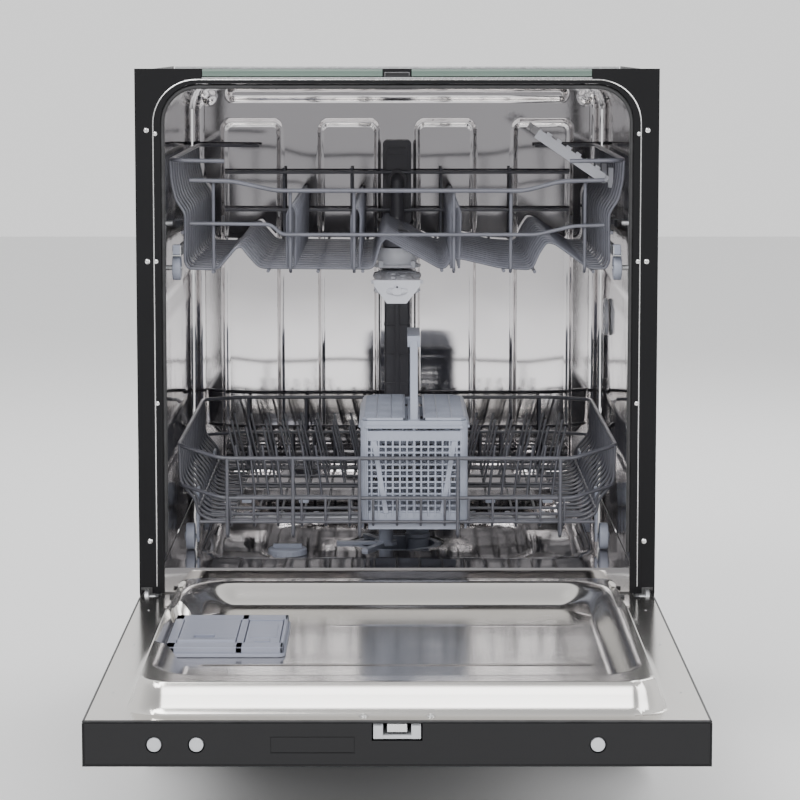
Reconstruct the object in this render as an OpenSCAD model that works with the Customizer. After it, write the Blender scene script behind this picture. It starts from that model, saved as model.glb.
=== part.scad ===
/* [Cabinet] */
// Overall width of the cabinet
cabinet_w = 598; // [590:1:600]
// Height from the floor to the top of the front frame
cabinet_h = 820; // [815:1:850]
// Depth from the front frame to the rear face
cabinet_d = 566; // [560:1:590]
// Thickness of the sheet metal panels
sheet = 2; // [1.5:0.5:2.5]

/* [Tub] */
// Clear width inside the tub
tub_w = 544; // [540:1:546]
// Depth of the tub from the front frame to the back wall
tub_d = 546; // [544:1:548]
// Height of the tub ceiling above the floor
tub_top = 803; // [800:1:804]
// Radius of the corners of the tub mouth
tub_r = 43; // [35:1:48]

/* [Door] */
// Height of the hinge axis above the floor
hinge_z = 210; // [208:1:212]
// Height of the closed door's upper edge
door_top = 816; // [812:1:817]
// Thickness of the closed door
door_t = 44; // [40:1:46]
// Depth of the raised border of the inner panel
bulge = 30; // [28:0.5:31]

/* [Racks] */
// Thickness of the rack wires
wire_d = 4.6; // [4:0.2:5]
// Depth of both racks
rack_d = 484; // [470:1:486]
// Half of the width over the lower rack's rim
lower_half = 258; // [250:1:260]
// Half of the width over the upper rack's rim
upper_half = 263; // [258:1:263]
// Radius of the lower rack's wheels
wheel_r = 16; // [14:1:17]

/* [Feet] */
// Radius of a levelling foot's pad
foot_r = 17; // [14:1:20]

/* [Hidden] */
$fn = 24;
half_w = cabinet_w / 2;
tub_half = tub_w / 2;
hinge_y = -4;
track_z = hinge_z + 3 + bulge;
door_bottom = hinge_z - 38;
door_reach = door_top - hinge_z - hinge_y;
button_proud = 1.2;
fitting_proud = 10;
origin_shift = (door_reach + button_proud - cabinet_d - fitting_proud) / 2;
rack_y0 = 38;
rack_y1 = rack_y0 + rack_d;
arm_y = 290;
lower_floor_z = 287;
lower_rim_z = 377;
wheel_z = track_z + wheel_r + 0.3;
post_step = (rack_d - 68) / 8;
front_wheel_y = rack_y0 + 34 + post_step;
rear_wheel_y = rack_y0 + 34 + 7 * post_step;
upper_floor_z = 590;
upper_rim_z = 714;
upper_wall_half = 248;
roller_y = 62;
roller_z = 588;
roller_r = 14.5;
foot_x = half_w - 45;
foot_y = 95;
strip_z = cabinet_h - 9.5;
flange_inner = 270;
dispenser_x = -179;
dispenser_w = 126;
dispenser_h = 168;
dispenser_z = hinge_z + 272;
lid_hinge_z = dispenser_z - 57;
basket_w = 126;
basket_x = 20;
basket_y0 = rack_y0 + 12;
basket_len = 224;
basket_z0 = lower_floor_z + 4;
basket_h = 118;
shelf_x = 250;
shelf_z = 688;
shelf_l = 100;
shelf_tilt = 34;

// ---- shared helpers ----

function arc(cx, cy, r, a0, a1, n = 5) =
    [for (i = [0 : n]) [cx + r * cos(a0 + (a1 - a0) * i / n), cy + r * sin(a0 + (a1 - a0) * i / n)]];

function rounded(w, h, r) = concat(
    arc(w / 2 - r, h / 2 - r, r, 0, 90), arc(r - w / 2, h / 2 - r, r, 90, 180),
    arc(r - w / 2, r - h / 2, r, 180, 270), arc(w / 2 - r, r - h / 2, r, 270, 360));

// Shift from the design datum (front frame plane) to the part's origin
module at_origin() translate([0, origin_shift, 0]) children();

// Turns parts drawn with the door closed into the open position
module on_door() at_origin() translate([0, hinge_y, hinge_z]) rotate([90, 0, 0])
    translate([0, -hinge_y, -hinge_z]) children();

// Mirrored pair, left and right
module pair() {
    children();
    mirror([1, 0, 0]) children();
}

// Box given by its low and high corners
module block(low, high) translate(low) cube(high - low);

// Plate standing in the XZ plane, with rounded corners, from y0 to y1
module upright(x, z, w, h, r, y0, y1)
    translate([x, y1, z]) rotate([90, 0, 0]) linear_extrude(y1 - y0) polygon(rounded(w, h, r));

// Plate lying in the XY plane, with rounded corners, from z0 to z1
module flat(x, y, w, h, r, z0, z1)
    translate([x, y, z0]) linear_extrude(z1 - z0) polygon(rounded(w, h, r));

// Round bar between two points
module rod(a, b, d = wire_d) {
    v = b - a;
    n = norm(v);
    translate(a) rotate([0, acos(v[2] / n), atan2(v[1], v[0])]) cylinder(h = n, d = d);
}

module bar_x(x0, x1, y, z, r) translate([x0, y, z]) rotate([0, 90, 0]) cylinder(r = r, h = x1 - x0);
module bar_y(x, y0, y1, z, r) translate([x, y1, z]) rotate([90, 0, 0]) cylinder(r = r, h = y1 - y0);

// ---- cabinet ----

module base_tray() color("dimgray") at_origin() difference() {
    block([-half_w + 3, 60, 30], [half_w - 3, cabinet_d - 3, 118]);
    block([-half_w + 7, 64, 34], [half_w - 7, cabinet_d - 7, 200]);
    // rear cut-out for the hose and cable fittings
    block([-200, cabinet_d - 21, 60], [245, cabinet_d + 1, 200]);
    for (x = [-foot_x, foot_x]) translate([x, foot_y, 0]) cylinder(r = 6.3, h = 60);
    translate([0, cabinet_d - 60, 0]) cylinder(r = 6.3, h = 60);
}

module side_panel(side) color("gray") at_origin() difference() {
    block([side * half_w - (side > 0 ? sheet : 0), 4.2, 30],
          [side * half_w + (side > 0 ? 0 : sheet), cabinet_d, cabinet_h - 2]);
    // clearance for the door's lower end
    translate([-half_w - 5, hinge_y, hinge_z]) rotate([0, 90, 0]) cylinder(r = 58, h = cabinet_w + 10);
    block([-half_w - 5, -10, 20], [half_w + 5, 50, 165]);
}
module side_panel_left() side_panel(-1);
module side_panel_right() side_panel(1);

module rear_panel() color("silver") at_origin() {
    difference() {
        block([-half_w + 2.2, cabinet_d - sheet, 119], [half_w - 2.2, cabinet_d, 236]);
        block([-200, cabinet_d - 10, 100], [245, cabinet_d + 1, 180]);
    }
    block([-half_w + 2.2, cabinet_d - sheet, cabinet_h - 60], [half_w - 2.2, cabinet_d, cabinet_h - 3]);
}

module front_frame() color([0.06, 0.06, 0.06]) at_origin() difference() {
    union() {
        difference() {
            block([-half_w, 0, 213.6], [half_w, 4, cabinet_h]);
            upright(0, (tub_top + 150) / 2, 2 * flange_inner, tub_top - 150, tub_r, -1, 5);
        }
        // channel behind the top bar
        block([-half_w + 2.2, 4, cabinet_h - 15], [half_w - 2.2, 46, cabinet_h - 12.5]);
    }
    pair() block([16, -1, strip_z - 0.2], [222.2, 2.4, cabinet_h + 1]);
    block([-14, -1, cabinet_h - 11], [14, 5, cabinet_h - 4]);
    for (z = [275, 600, 750]) pair() bar_y(half_w - 13, -1, 5, z, 2.3);
    // relief over the hinge eyes
    pair() block([284, -1, 213], [297, 5, 221]);
}

module trim_strips() color([0.45, 0.5, 0.46]) at_origin()
    pair() block([16.2, 0.3, strip_z], [222, 2.4, cabinet_h]);

module worktop_brackets() color("silver") at_origin() pair() difference() {
    union() {
        block([half_w - 60, 4.2, cabinet_h - 12.3], [half_w - 40, 44, cabinet_h - 9.8]);
        block([half_w - 60, 6, cabinet_h - 12.3], [half_w - 40, 9, cabinet_h - 1]);
    }
    translate([half_w - 50, 30, cabinet_h - 20]) cylinder(r = 2.6, h = 20);
}

// ---- tub ----

module tub_outline(grow, y0, y1) intersection() {
    upright(0, (tub_top + 150) / 2, tub_w + 2 * grow, tub_top - 150 + 2 * grow, tub_r + grow, y0, y1);
    block([-half_w, y0 - 1, 244.2], [half_w, y1 + 1, cabinet_h]);
}

module tub_wrapper() color("silver") at_origin() difference() {
    tub_outline(sheet, 4.2, tub_d);
    upright(0, (tub_top + 150) / 2, tub_w, tub_top - 150, tub_r, 0, tub_d + 1);
}

module tub_back_wall() color([0.8, 0.8, 0.82]) at_origin() difference() {
    union() {
        tub_outline(sheet, tub_d + 0.1, tub_d + 2);
        for (x = [-193, -64, 64, 193]) upright(x, 508, 81, 477, 16, tub_d - 2, tub_d + 1);
        upright(0, 781, 470, 16, 7.9, tub_d - 3, tub_d + 1);
    }
    for (x = [-193, -64, 64, 193]) upright(x, 508, 72, 468, 12, tub_d - 3, tub_d + 0.6);
}

module tub_floor() color("silver") at_origin() difference() {
    block([-tub_half - 2, 4.4, 214.6], [tub_half + 2, tub_d + 2, 243]);
    // stepped bowl draining to the sump
    flat(0, 293, 456, 440, 60, 228, 260);
    flat(0, 293, 330, 340, 90, 221, 260);
    translate([0, arm_y, 200]) cylinder(r = 62, h = 60);
    // hollow underside
    difference() {
        block([-tub_half, 7, 210], [tub_half, tub_d, 240]);
        flat(0, 293, 462, 446, 63, 205, 245);
    }
    difference() {
        flat(0, 293, 456, 440, 60, 210, 225);
        flat(0, 293, 336, 346, 93, 205, 230);
    }
    // salt container neck
    translate([-135, 205, 200]) cylinder(r = 26, h = 60);
}

module door_gasket() color([0.08, 0.08, 0.09]) at_origin() difference() {
    intersection() {
        upright(0, (tub_top + 150) / 2, tub_w - 0.4, tub_top - 150 - 0.4, tub_r, 5, 17);
        block([-half_w, 4, 260], [half_w, 18, cabinet_h]);
    }
    upright(0, (tub_top + 150) / 2, tub_w - 8, tub_top - 150 - 8, tub_r - 4, 4, 18);
}

module frame_screws() color("silver") at_origin()
    for (z = [275, 600, 750]) pair() {
        bar_y(half_w - 13, 0.2, 10, z, 2.3);
        bar_y(half_w - 13, -0.7, 0, z, 3.6);
        bar_y(half_w - 13, -0.2, 0.3, z, 2.3);
    }

module sump_housing() color([0.2, 0.2, 0.22]) at_origin() difference() {
    union() {
        translate([0, arm_y, 130]) cylinder(r = 61.5, h = 90.8);
        translate([0, arm_y, 206]) cylinder(r = 72, h = 8.3);
        translate([-135, 205, 120]) cylinder(r = 25.5, h = 101);
        translate([-135, 205, 206]) cylinder(r = 34, h = 8.3);
        block([-120, 205, 132], [-40, 260, 160]);
    }
    translate([0, arm_y, 134]) cylinder(r = 57, h = 100);
    translate([-135, 205, 124]) cylinder(r = 20, h = 100);
}

module coarse_filter() color([0.72, 0.74, 0.78]) at_origin() difference() {
    union() {
        translate([0, arm_y, 217]) cylinder(r = 56.5, h = 4);
        translate([0, arm_y, 160]) cylinder(r = 50, h = 58);
    }
    translate([0, arm_y, 164]) cylinder(r = 47, h = 70);
    for (a = [0 : 30 : 150]) translate([0, arm_y, 178]) rotate(a) block([-60, -4, 0], [60, 4, 26]);
}

module fine_filter() color([0.62, 0.64, 0.7]) at_origin() translate([26, arm_y + 16, 0]) difference() {
    union() {
        translate([0, 0, 168]) cylinder(r = 14, h = 60);
        translate([0, 0, 226]) cylinder(r = 16, h = 5);
        block([-15, -2, 230], [15, 2, 237]);
    }
    translate([0, 0, 160]) cylinder(r = 11, h = 60);
}

module salt_cap() color([0.5, 0.52, 0.56]) at_origin() translate([-135, 205, 0]) {
    translate([0, 0, 222.3]) cylinder(r = 24, h = 8);
    translate([0, 0, 210]) cylinder(r = 19.4, h = 13);
    block([-18, -3, 230], [18, 3, 235]);
}

module lower_arm_hub() color([0.6, 0.62, 0.66]) at_origin() difference() {
    union() {
        translate([-14, arm_y - 12, 221.2]) cylinder(r = 14, h = 5);
        translate([-14, arm_y - 12, 221.2]) cylinder(r = 9, h = 40);
        // legs that bridge the filter well
        for (a = [115, 180, 245]) translate([-14, arm_y - 12, 221.2]) rotate(a) block([0, -4, 0], [62, 4, 4]);
    }
    translate([-14, arm_y - 12, 200]) cylinder(r = 6, h = 80);
}

module feed_duct() color([0.35, 0.35, 0.37]) at_origin() {
    block([-17, tub_d - 20, 246], [17, tub_d - 3.1, 610]);
    difference() {
        block([-19, tub_d - 22, 609], [19, tub_d - 3.1, 720]);
        bar_y(0, tub_d - 40, tub_d - 10, 668, 10);
    }
}

module rail_brackets() color("silver") at_origin() pair() {
    block([270.2, roller_y - 12, roller_z - 30], [271.9, roller_y + 12, roller_z + 62]);
    bar_x(251, 270.4, roller_y, roller_z, 3);
    bar_x(262, 270.4, roller_y, roller_z + 52, 3);
}

module rail_rollers() color([0.72, 0.74, 0.78]) at_origin() pair() difference() {
    bar_x(252, 262, roller_y, roller_z, roller_r);
    bar_x(250, 264, roller_y, roller_z, 3.08);
}

module circulation_pump() color([0.25, 0.25, 0.28]) at_origin() {
    bar_x(70, 190, 330, 90, 42);
    bar_x(190, 212, 330, 90, 30);
    block([100, 305, 34.1], [160, 355, 60]);
    bar_y(95, 300, 350, 128, 16);
    bar_x(62, 72, 330, 90, 18);
}

module drain_pump() color([0.3, 0.34, 0.3]) at_origin() {
    bar_y(-110, 300, 380, 80, 26);
    block([-134, 380, 34.1], [-86, 420, 104]);
    bar_y(-110, 420, 445, 80, 8);
}

module air_break() color([0.7, 0.72, 0.75]) at_origin() difference() {
    translate([tub_half - 5, 400, 497]) rotate([0, 90, 0]) cylinder(r = 24, h = 4.9);
    for (z = [-14 : 7 : 14]) block([tub_half - 6, 386, 495.5 + z], [tub_half - 2, 414, 498.5 + z]);
}

module inlet_valve() color("white") at_origin() {
    block([196, cabinet_d - 40, 84], [236, cabinet_d - 3.2, 130]);
    bar_y(216, cabinet_d - 4, cabinet_d - 0.2, 108, 18);
    bar_y(216, cabinet_d - 4, cabinet_d + 10, 108, 13.1);
}

module drain_outlet() color([0.3, 0.3, 0.32]) at_origin() difference() {
    union() {
        bar_y(-150, cabinet_d - 60, cabinet_d + 10, 130, 10.5);
        bar_y(-150, cabinet_d - 19, cabinet_d - 14, 130, 17);
    }
    bar_y(-150, cabinet_d - 61, cabinet_d + 11, 130, 7.5);
}

module cable_gland() color([0.1, 0.1, 0.1]) at_origin() difference() {
    union() {
        bar_y(-60, cabinet_d - 24, cabinet_d + 6, 130, 9);
        bar_y(-60, cabinet_d - 19, cabinet_d - 14, 130, 13);
    }
    bar_y(-60, cabinet_d - 30, cabinet_d + 10, 130, 4);
}

module hinge_brackets() color("silver") at_origin() pair() {
    block([276, hinge_y - 8, hinge_z - 30], [280, 66, hinge_z + 3.3]);
    block([276, 55, 118.1], [280, 66, hinge_z]);
    bar_x(279, 292, hinge_y, hinge_z, 3);
}

module door_springs() color("gray") at_origin() pair() translate([285, 80, 36])
    difference() {
        cylinder(r = 6.5, h = 92);
        translate([0, 0, -1]) cylinder(r = 4.5, h = 94);
    }

module toe_kick() color([0.12, 0.12, 0.13]) at_origin() {
    block([-half_w + 3, 52, 20], [half_w - 3, 54, 148]);
    block([-half_w + 3, 54, 20], [half_w - 3, 59, 24]);
}

module foot(x, y) color([0.15, 0.15, 0.16]) at_origin() translate([x, y, 0]) {
    cylinder(r = foot_r, h = 9);
    cylinder(r = 5.9, h = 82);
}
module foot_front_left() foot(-foot_x, foot_y);
module foot_front_right() foot(foot_x, foot_y);
module foot_rear() foot(0, cabinet_d - 60);

module lower_spray_arm() color([0.7, 0.72, 0.76]) at_origin() translate([-14, arm_y - 12, 0]) difference() {
    union() {
        translate([0, 0, 250]) cylinder(r = 24, h = 14);
        for (a = [0, 180]) rotate(a) {
            block([0, -17, 252], [197, 17, 262]);
            translate([197, 0, 252]) cylinder(r = 17, h = 10);
        }
    }
    translate([0, 0, 240]) cylinder(r = 9.08, h = 22);
    for (a = [0, 180], x = [50 : 35 : 190]) rotate(a) translate([x, (x % 70 - 25) / 6, 256]) cylinder(r = 1.6, h = 10);
}

// ---- door ----

// Slots that let the hinge brackets pass into the door's lower end
module hinge_slots() pair() {
    block([273, hinge_y - 12, door_bottom - 1], [296.2, 1, hinge_z + 13]);
    block([274, -5, door_bottom - 1], [282, 1, hinge_z]);
    block([274, -40, door_bottom - 1], [282, 1, door_bottom + 3]);
}

module inner_door_panel() color("silver") on_door() difference() {
    union() {
        // flat flange
        difference() {
            upright(0, (door_top + door_bottom) / 2, cabinet_w - 6, door_top - door_bottom, 4, -3, -1);
            upright(0, 516, 480, 474, 40, -4, 0);
        }
        // raised border
        difference() {
            upright(0, 522, 524, 545, 40, -1.2, bulge - 1);
            upright(0, 522, 520, 541, 38, -3, bulge - 3);
            upright(0, 516, 480, 474, 40, -5, bulge + 1);
        }
        // inner wall and recessed centre
        difference() {
            upright(0, 516, 484, 478, 42, -3, bulge - 1.5);
            upright(0, 516, 480, 474, 40, 4, bulge);
            upright(0, 516, 480, 474, 40, -5, 2);
        }
        // wall round the dispenser, where it stands in the border
        intersection() {
            upright(dispenser_x, dispenser_z, dispenser_w + 6, dispenser_h + 6, 11, 2, bulge - 1.2);
            block([dispenser_x - 70, 0, 300], [-240, bulge, 700]);
        }
    }
    upright(dispenser_x, dispenser_z, dispenser_w + 2, dispenser_h + 2, 10, 4, bulge + 1);
    upright(dispenser_x, dispenser_z, dispenser_w - 16, dispenser_h - 16, 6, -5, 10);
    hinge_slots();
}

module outer_door_panel() color([0.1, 0.1, 0.11]) on_door() difference() {
    block([-half_w + 1, -1 - door_t, door_bottom], [half_w - 1, -3.2, door_top]);
    block([-half_w + 3, 1 - door_t, door_bottom + 2], [half_w - 3, 0, door_top + 5]);
    hinge_slots();
}

module control_fascia() color([0.14, 0.14, 0.15]) on_door() difference() {
    block([-half_w + 3.2, 1.2 - door_t, door_top - 40], [half_w - 3.2, -3.2, door_top]);
    block([-half_w + 6, 4 - door_t, door_top - 50], [half_w - 6, -5, door_top - 3]);
    // button wells
    for (x = [-230, -190, 190]) translate([x, -24, door_top - 10]) cylinder(r = 8, h = 20);
    block([-120, -32, door_top - 1], [-40, -16, door_top + 1]);
    block([-24, -20, door_top - 60], [24, 0, door_top + 1]);
}

module hinge_arms() color("silver") on_door() pair() difference() {
    union() {
        block([288, -24, hinge_z - 8], [292, -8, hinge_z + 150]);
        bar_x(288, 292, hinge_y, hinge_z, 9);
        block([284, -38, hinge_z + 60], [292, -8, hinge_z + 150]);
    }
    bar_x(280, 300, hinge_y, hinge_z, 3.06);
}

module door_seal() color([0.08, 0.08, 0.09]) on_door()
    block([-262, -0.9, 224], [262, 3, 234]);

module dispenser_body() color([0.6, 0.62, 0.7]) on_door() difference() {
    union() {
        upright(dispenser_x, dispenser_z, dispenser_w, dispenser_h, 9, 4.1, 15);
        upright(dispenser_x, dispenser_z, dispenser_w - 18, dispenser_h - 18, 6, -28, 5);
    }
    // detergent cup and rinse-aid filler
    upright(dispenser_x - 20, dispenser_z, 62, 118, 5, -20, 20);
    upright(dispenser_x + 38, dispenser_z, 38, 118, 1.2, 9, 20);
    bar_y(dispenser_x + 38, -24, 20, dispenser_z + 20, 13);
}

module detergent_lid() color([0.62, 0.64, 0.72]) on_door() {
    difference() {
        upright(dispenser_x - 20, dispenser_z, 61, 117, 5, 9, 17);
        upright(dispenser_x - 20, dispenser_z, 57, 113, 4, 8, 15);
        upright(dispenser_x - 24, dispenser_z + 26, 22, 12, 2, 15.6, 20);
        block([dispenser_x - 60, 15.5, lid_hinge_z - 3], [dispenser_x + 20, 18, lid_hinge_z]);
    }
    bar_x(dispenser_x - 46, dispenser_x + 6, 15.5, lid_hinge_z, 1.5);
}

module rinse_aid_lid() color([0.58, 0.6, 0.67]) on_door() {
    difference() {
        upright(dispenser_x + 38, dispenser_z, 37, 117, 4, 12, 16);
        block([dispenser_x, 14.5, lid_hinge_z - 3], [dispenser_x + 70, 18, lid_hinge_z]);
    }
    bar_x(dispenser_x + 24, dispenser_x + 52, 14.5, lid_hinge_z, 1.5);
    bar_y(dispenser_x + 38, 6, 12.5, dispenser_z + 20, 12.2);
}

module latch_body() color([0.75, 0.76, 0.78]) on_door() difference() {
    block([-23, -19, door_top - 44], [23, -3.6, door_top - 0.5]);
    block([-13, -14, door_top - 36], [13, -6, door_top + 1]);
    block([-13, -15, door_top - 12], [13, 0, door_top + 1]);
}

module latch_hook() color([0.85, 0.86, 0.88]) on_door() {
    block([-10, -13, door_top - 30], [10, -8, door_top - 4]);
    block([-10, -13, door_top - 8], [10, -3, door_top - 4]);
}

module button(x) color([0.7, 0.71, 0.73]) on_door() translate([x, -24, door_top]) {
    translate([0, 0, -8]) cylinder(r = 7.6, h = 9.2);
    translate([0, 0, -9]) cylinder(r = 3, h = 2);
}
module power_button() button(-230);
module program_button() button(-190);
module start_button() button(190);

// ---- lower rack ----

module lower_rack_floor() color([0.45, 0.46, 0.52]) at_origin() {
    for (i = [0 : 8]) {
        y = rack_y0 + 20 + i * (rack_d - 40) / 8;
        rod([-214, y, lower_floor_z], [214, y, lower_floor_z]);
    }
    for (x = [-205, -120, 120, 205])
        rod([x, rack_y0 + 8, lower_floor_z - 3.8], [x, rack_y1 - 8, lower_floor_z - 3.8]);
}

module lower_rack_walls() color([0.45, 0.46, 0.52]) at_origin() {
    // sides
    pair() {
        rod([lower_half, rack_y0 + 26, lower_rim_z], [lower_half, rack_y1 - 26, lower_rim_z], wire_d + 1);
        rod([lower_half - 3.4, rack_y0 + 26, 348], [lower_half - 3.4, rack_y1 - 26, 348]);
        rod([224, rack_y0 + 26, lower_floor_z + 8], [224, rack_y1 - 26, lower_floor_z + 8]);
        for (i = [0 : 8]) {
            y = rack_y0 + 34 + i * post_step;
            rod([216, y, lower_floor_z + 4.5], [lower_half + 1, y, 328]);
            rod([lower_half, y, 325], [lower_half, y, lower_rim_z]);
        }
        // wheel brackets
        for (y = [front_wheel_y, rear_wheel_y]) {
            block([238.5, y - 9, wheel_z - 9], [241.5, y + 9, 316]);
            bar_x(240, 254, y, wheel_z, 3);
        }
    }
    // front and rear
    for (end = [0, 1]) {
        y = end == 0 ? rack_y0 + 3 : rack_y1 - 3;
        rod([-204, y, lower_rim_z - 10], [204, y, lower_rim_z - 10], wire_d + 1);
        rod([-204, y, 315], [204, y, 315]);
        for (x = [-200 : 50 : 200])
            rod([x, y, lower_floor_z - 1], [x, y, lower_rim_z - 10]);
    }
}

module lower_rack_tines() color([0.45, 0.46, 0.52]) at_origin()
    for (y = [rack_y0 + 288, rack_y0 + 418], i = [0 : 9]) {
        x = -198 + i * 44;
        rod([x, y, lower_floor_z + 1.5], [x, y + 16, lower_floor_z + 66], wire_d - 0.6);
    }

module fold_tines() color([0.45, 0.46, 0.52]) at_origin() {
    bar_x(-196, -84, rack_y0 + 150, lower_floor_z + 10, 2.3);
    bar_x(104, 196, rack_y0 + 150, lower_floor_z + 10, 2.3);
    for (x = [-190, -165, -140, -115, -90, 115, 140, 165, 190])
        rod([x, rack_y0 + 150, lower_floor_z + 10], [x, rack_y0 + 162, lower_floor_z + 70], wire_d - 0.6);
}

module wheels(y) color([0.68, 0.7, 0.76]) at_origin() pair() difference() {
    union() {
        bar_x(243, 253, y, wheel_z, wheel_r);
        bar_x(242.2, 254, y, wheel_z, 7);
    }
    bar_x(240, 256, y, wheel_z, 3.08);
}
module front_wheels() wheels(front_wheel_y);
module rear_wheels() wheels(rear_wheel_y);

module cutlery_basket() color([0.7, 0.72, 0.78]) at_origin() translate([basket_x, 0, 0]) difference() {
    union() {
        flat(0, basket_y0 + basket_len / 2, basket_w, basket_len, 8, basket_z0, basket_z0 + basket_h);
        block([-7, basket_y0 + 14, basket_z0 + 4], [7, basket_y0 + basket_len - 14, basket_z0 + 150]);
        block([-8, basket_y0 + 60, basket_z0 + 150], [8, basket_y0 + 164, basket_z0 + 212]);
    }
    pair() flat(35, basket_y0 + basket_len / 2, 50, basket_len - 8, 5, basket_z0 + 3, basket_z0 + 160);
    block([-9, basket_y0 + 74, basket_z0 + 160], [9, basket_y0 + 150, basket_z0 + 198]);
    // window grid in the walls
    for (z = [0 : 3], i = [0 : 7])
        block([-90, basket_y0 + 14 + i * 25, basket_z0 + 14 + z * 23],
              [90, basket_y0 + 34 + i * 25, basket_z0 + 32 + z * 23]);
    for (z = [0 : 3]) pair()
        block([14, basket_y0 - 5, basket_z0 + 14 + z * 23], [54, basket_y0 + basket_len + 5, basket_z0 + 32 + z * 23]);
}

module basket_lid(side) color([0.7, 0.72, 0.78]) at_origin() translate([basket_x, 0, 0]) {
    difference() {
        flat(side * 35.8, basket_y0 + basket_len / 2, 50.6, basket_len, 8,
             basket_z0 + basket_h + 0.3, basket_z0 + basket_h + 3.3);
        for (i = [0 : 9], k = [-1, 1])
            translate([side * 35.8 + k * 11.5, basket_y0 + 17.5 + i * 21, basket_z0 + basket_h])
                cube([18, 14, 10], center = true);
        block([-12, basket_y0 - 1, basket_z0 + basket_h], [12, basket_y0 + basket_len + 1, basket_z0 + basket_h + 4]);
    }
    bar_y(side * 12, basket_y0 + 10, basket_y0 + basket_len - 10, basket_z0 + basket_h + 1.8, 1.5);
}
module basket_lid_left() basket_lid(-1);
module basket_lid_right() basket_lid(1);

// ---- upper rack ----

module upper_rack_floor() color([0.5, 0.51, 0.57]) at_origin() {
    for (i = [0 : 9]) {
        y = rack_y0 + 14 + i * (rack_d - 28) / 9;
        rod([-244, y, upper_floor_z], [244, y, upper_floor_z]);
    }
    for (x = [-235, -110, 110, 235])
        rod([x, rack_y0 + 8, upper_floor_z - 3.8], [x, rack_y1 - 8, upper_floor_z - 3.8]);
}

module upper_rack_walls() color([0.5, 0.51, 0.57]) at_origin() {
    pair() {
        rod([upper_half, rack_y0 + 6, upper_rim_z], [upper_half, rack_y1 - 6, upper_rim_z], wire_d + 1);
        rod([upper_wall_half, rack_y0 + 6, upper_floor_z + 6], [upper_wall_half, rack_y1 - 6, upper_floor_z + 6]);
        for (i = [0 : 9]) {
            y = rack_y0 + 14 + i * (rack_d - 28) / 9;
            rod([upper_wall_half, y, upper_floor_z + 6], [upper_wall_half, y, 652]);
            rod([upper_wall_half - 1, y, 649], [upper_half + 1, y, 691]);
            rod([upper_half, y, 688], [upper_half, y, upper_rim_z]);
        }
        // runner rail that rides on the wall rollers
        block([250.6, rack_y0 + 4, roller_z + roller_r + 0.3], [261.5, rack_y1 - 4, roller_z + roller_r + 3.3]);
        for (y = [rack_y0 + 14, rack_y1 - 14])
            block([248, y - 4, roller_z + roller_r + 0.3], [251, y + 4, roller_z + roller_r + 3.3]);
    }
    for (end = [0, 1]) {
        y = end == 0 ? rack_y0 + 3 : rack_y1 - 3;
        z = end == 0 ? 678 : 700;
        rod([-236, y, z], [236, y, z], wire_d + 1);
        rod([-236, y, z - 50], [236, y, z - 50]);
        for (x = [-232, -118, 118, 232]) rod([x, y, upper_floor_z - 1], [x, y, z]);
    }
}

module upper_spray_arm() color([0.78, 0.79, 0.82]) at_origin() translate([0, arm_y, 0]) difference() {
    union() {
        translate([0, 0, 552]) cylinder(r = 26, h = 18);
        for (a = [90, 270]) rotate(a) {
            block([0, -20, 552], [192, 20, 563]);
            translate([192, 0, 552]) cylinder(r = 20, h = 11);
            block([190, -12, 544], [206, 12, 554]);
        }
    }
    translate([0, 0, 545]) cylinder(r = 9.08, h = 40);
    for (a = [90, 270], x = [50 : 34 : 200]) rotate(a) translate([x, 8, 550]) cylinder(r = 1.6, h = 20);
}

module upper_feed_tube() color([0.35, 0.35, 0.38]) at_origin() {
    difference() {
        union() {
            translate([0, arm_y, 540]) cylinder(r = 9, h = 46);
            translate([0, arm_y, 540]) cylinder(r = 15, h = 10);
            translate([0, arm_y, 572]) cylinder(r = 22, h = 12);
            translate([0, arm_y, 596]) cylinder(r = 18, h = 20);
            translate([0, arm_y, 580]) cylinder(r = 14, h = 30);
        }
        translate([0, arm_y, 530]) cylinder(r = 5, h = 60);
    }
    bar_y(0, arm_y, rack_y1 - 14, 606, 9.5);
    translate([0, rack_y1 - 14, 606]) sphere(r = 9.9);
    translate([0, rack_y1 - 14, 606]) cylinder(r = 9.5, h = 62);
    translate([0, rack_y1 - 14, 668]) sphere(r = 9.9);
    bar_y(0, rack_y1 - 14, tub_d - 22.3, 668, 9.5);
}

module cup_shelf() color([0.74, 0.75, 0.79]) at_origin() translate([shelf_x, 150, shelf_z]) {
    rotate([-90, 0, 0]) cylinder(r = 3.5, h = 250);
    rotate([0, shelf_tilt, 0]) difference() {
        translate([-shelf_l, 0, -1.5]) cube([shelf_l, 250, 3]);
        for (i = [0 : 8]) translate([12 - shelf_l, 11 + i * 27, -3]) cube([shelf_l - 26, 14, 6]);
    }
}

base_tray();
side_panel_left();
side_panel_right();
rear_panel();
front_frame();
trim_strips();
worktop_brackets();
tub_wrapper();
tub_back_wall();
tub_floor();
door_gasket();
frame_screws();
sump_housing();
coarse_filter();
fine_filter();
salt_cap();
lower_arm_hub();
feed_duct();
rail_brackets();
rail_rollers();
circulation_pump();
drain_pump();
air_break();
inlet_valve();
drain_outlet();
cable_gland();
hinge_brackets();
door_springs();
toe_kick();
foot_front_left();
foot_front_right();
foot_rear();
lower_spray_arm();
inner_door_panel();
outer_door_panel();
control_fascia();
hinge_arms();
door_seal();
dispenser_body();
latch_body();
latch_hook();
detergent_lid();
rinse_aid_lid();
power_button();
program_button();
start_button();
lower_rack_floor();
lower_rack_walls();
lower_rack_tines();
fold_tines();
front_wheels();
rear_wheels();
cutlery_basket();
basket_lid_left();
basket_lid_right();
upper_rack_floor();
upper_rack_walls();
upper_spray_arm();
upper_feed_tube();
cup_shelf();
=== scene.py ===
"""Built-in dishwasher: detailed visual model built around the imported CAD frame.

Lengths are design millimetres, with X to the right, Y back from the front frame plane and Z up.
"""
import math

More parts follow.
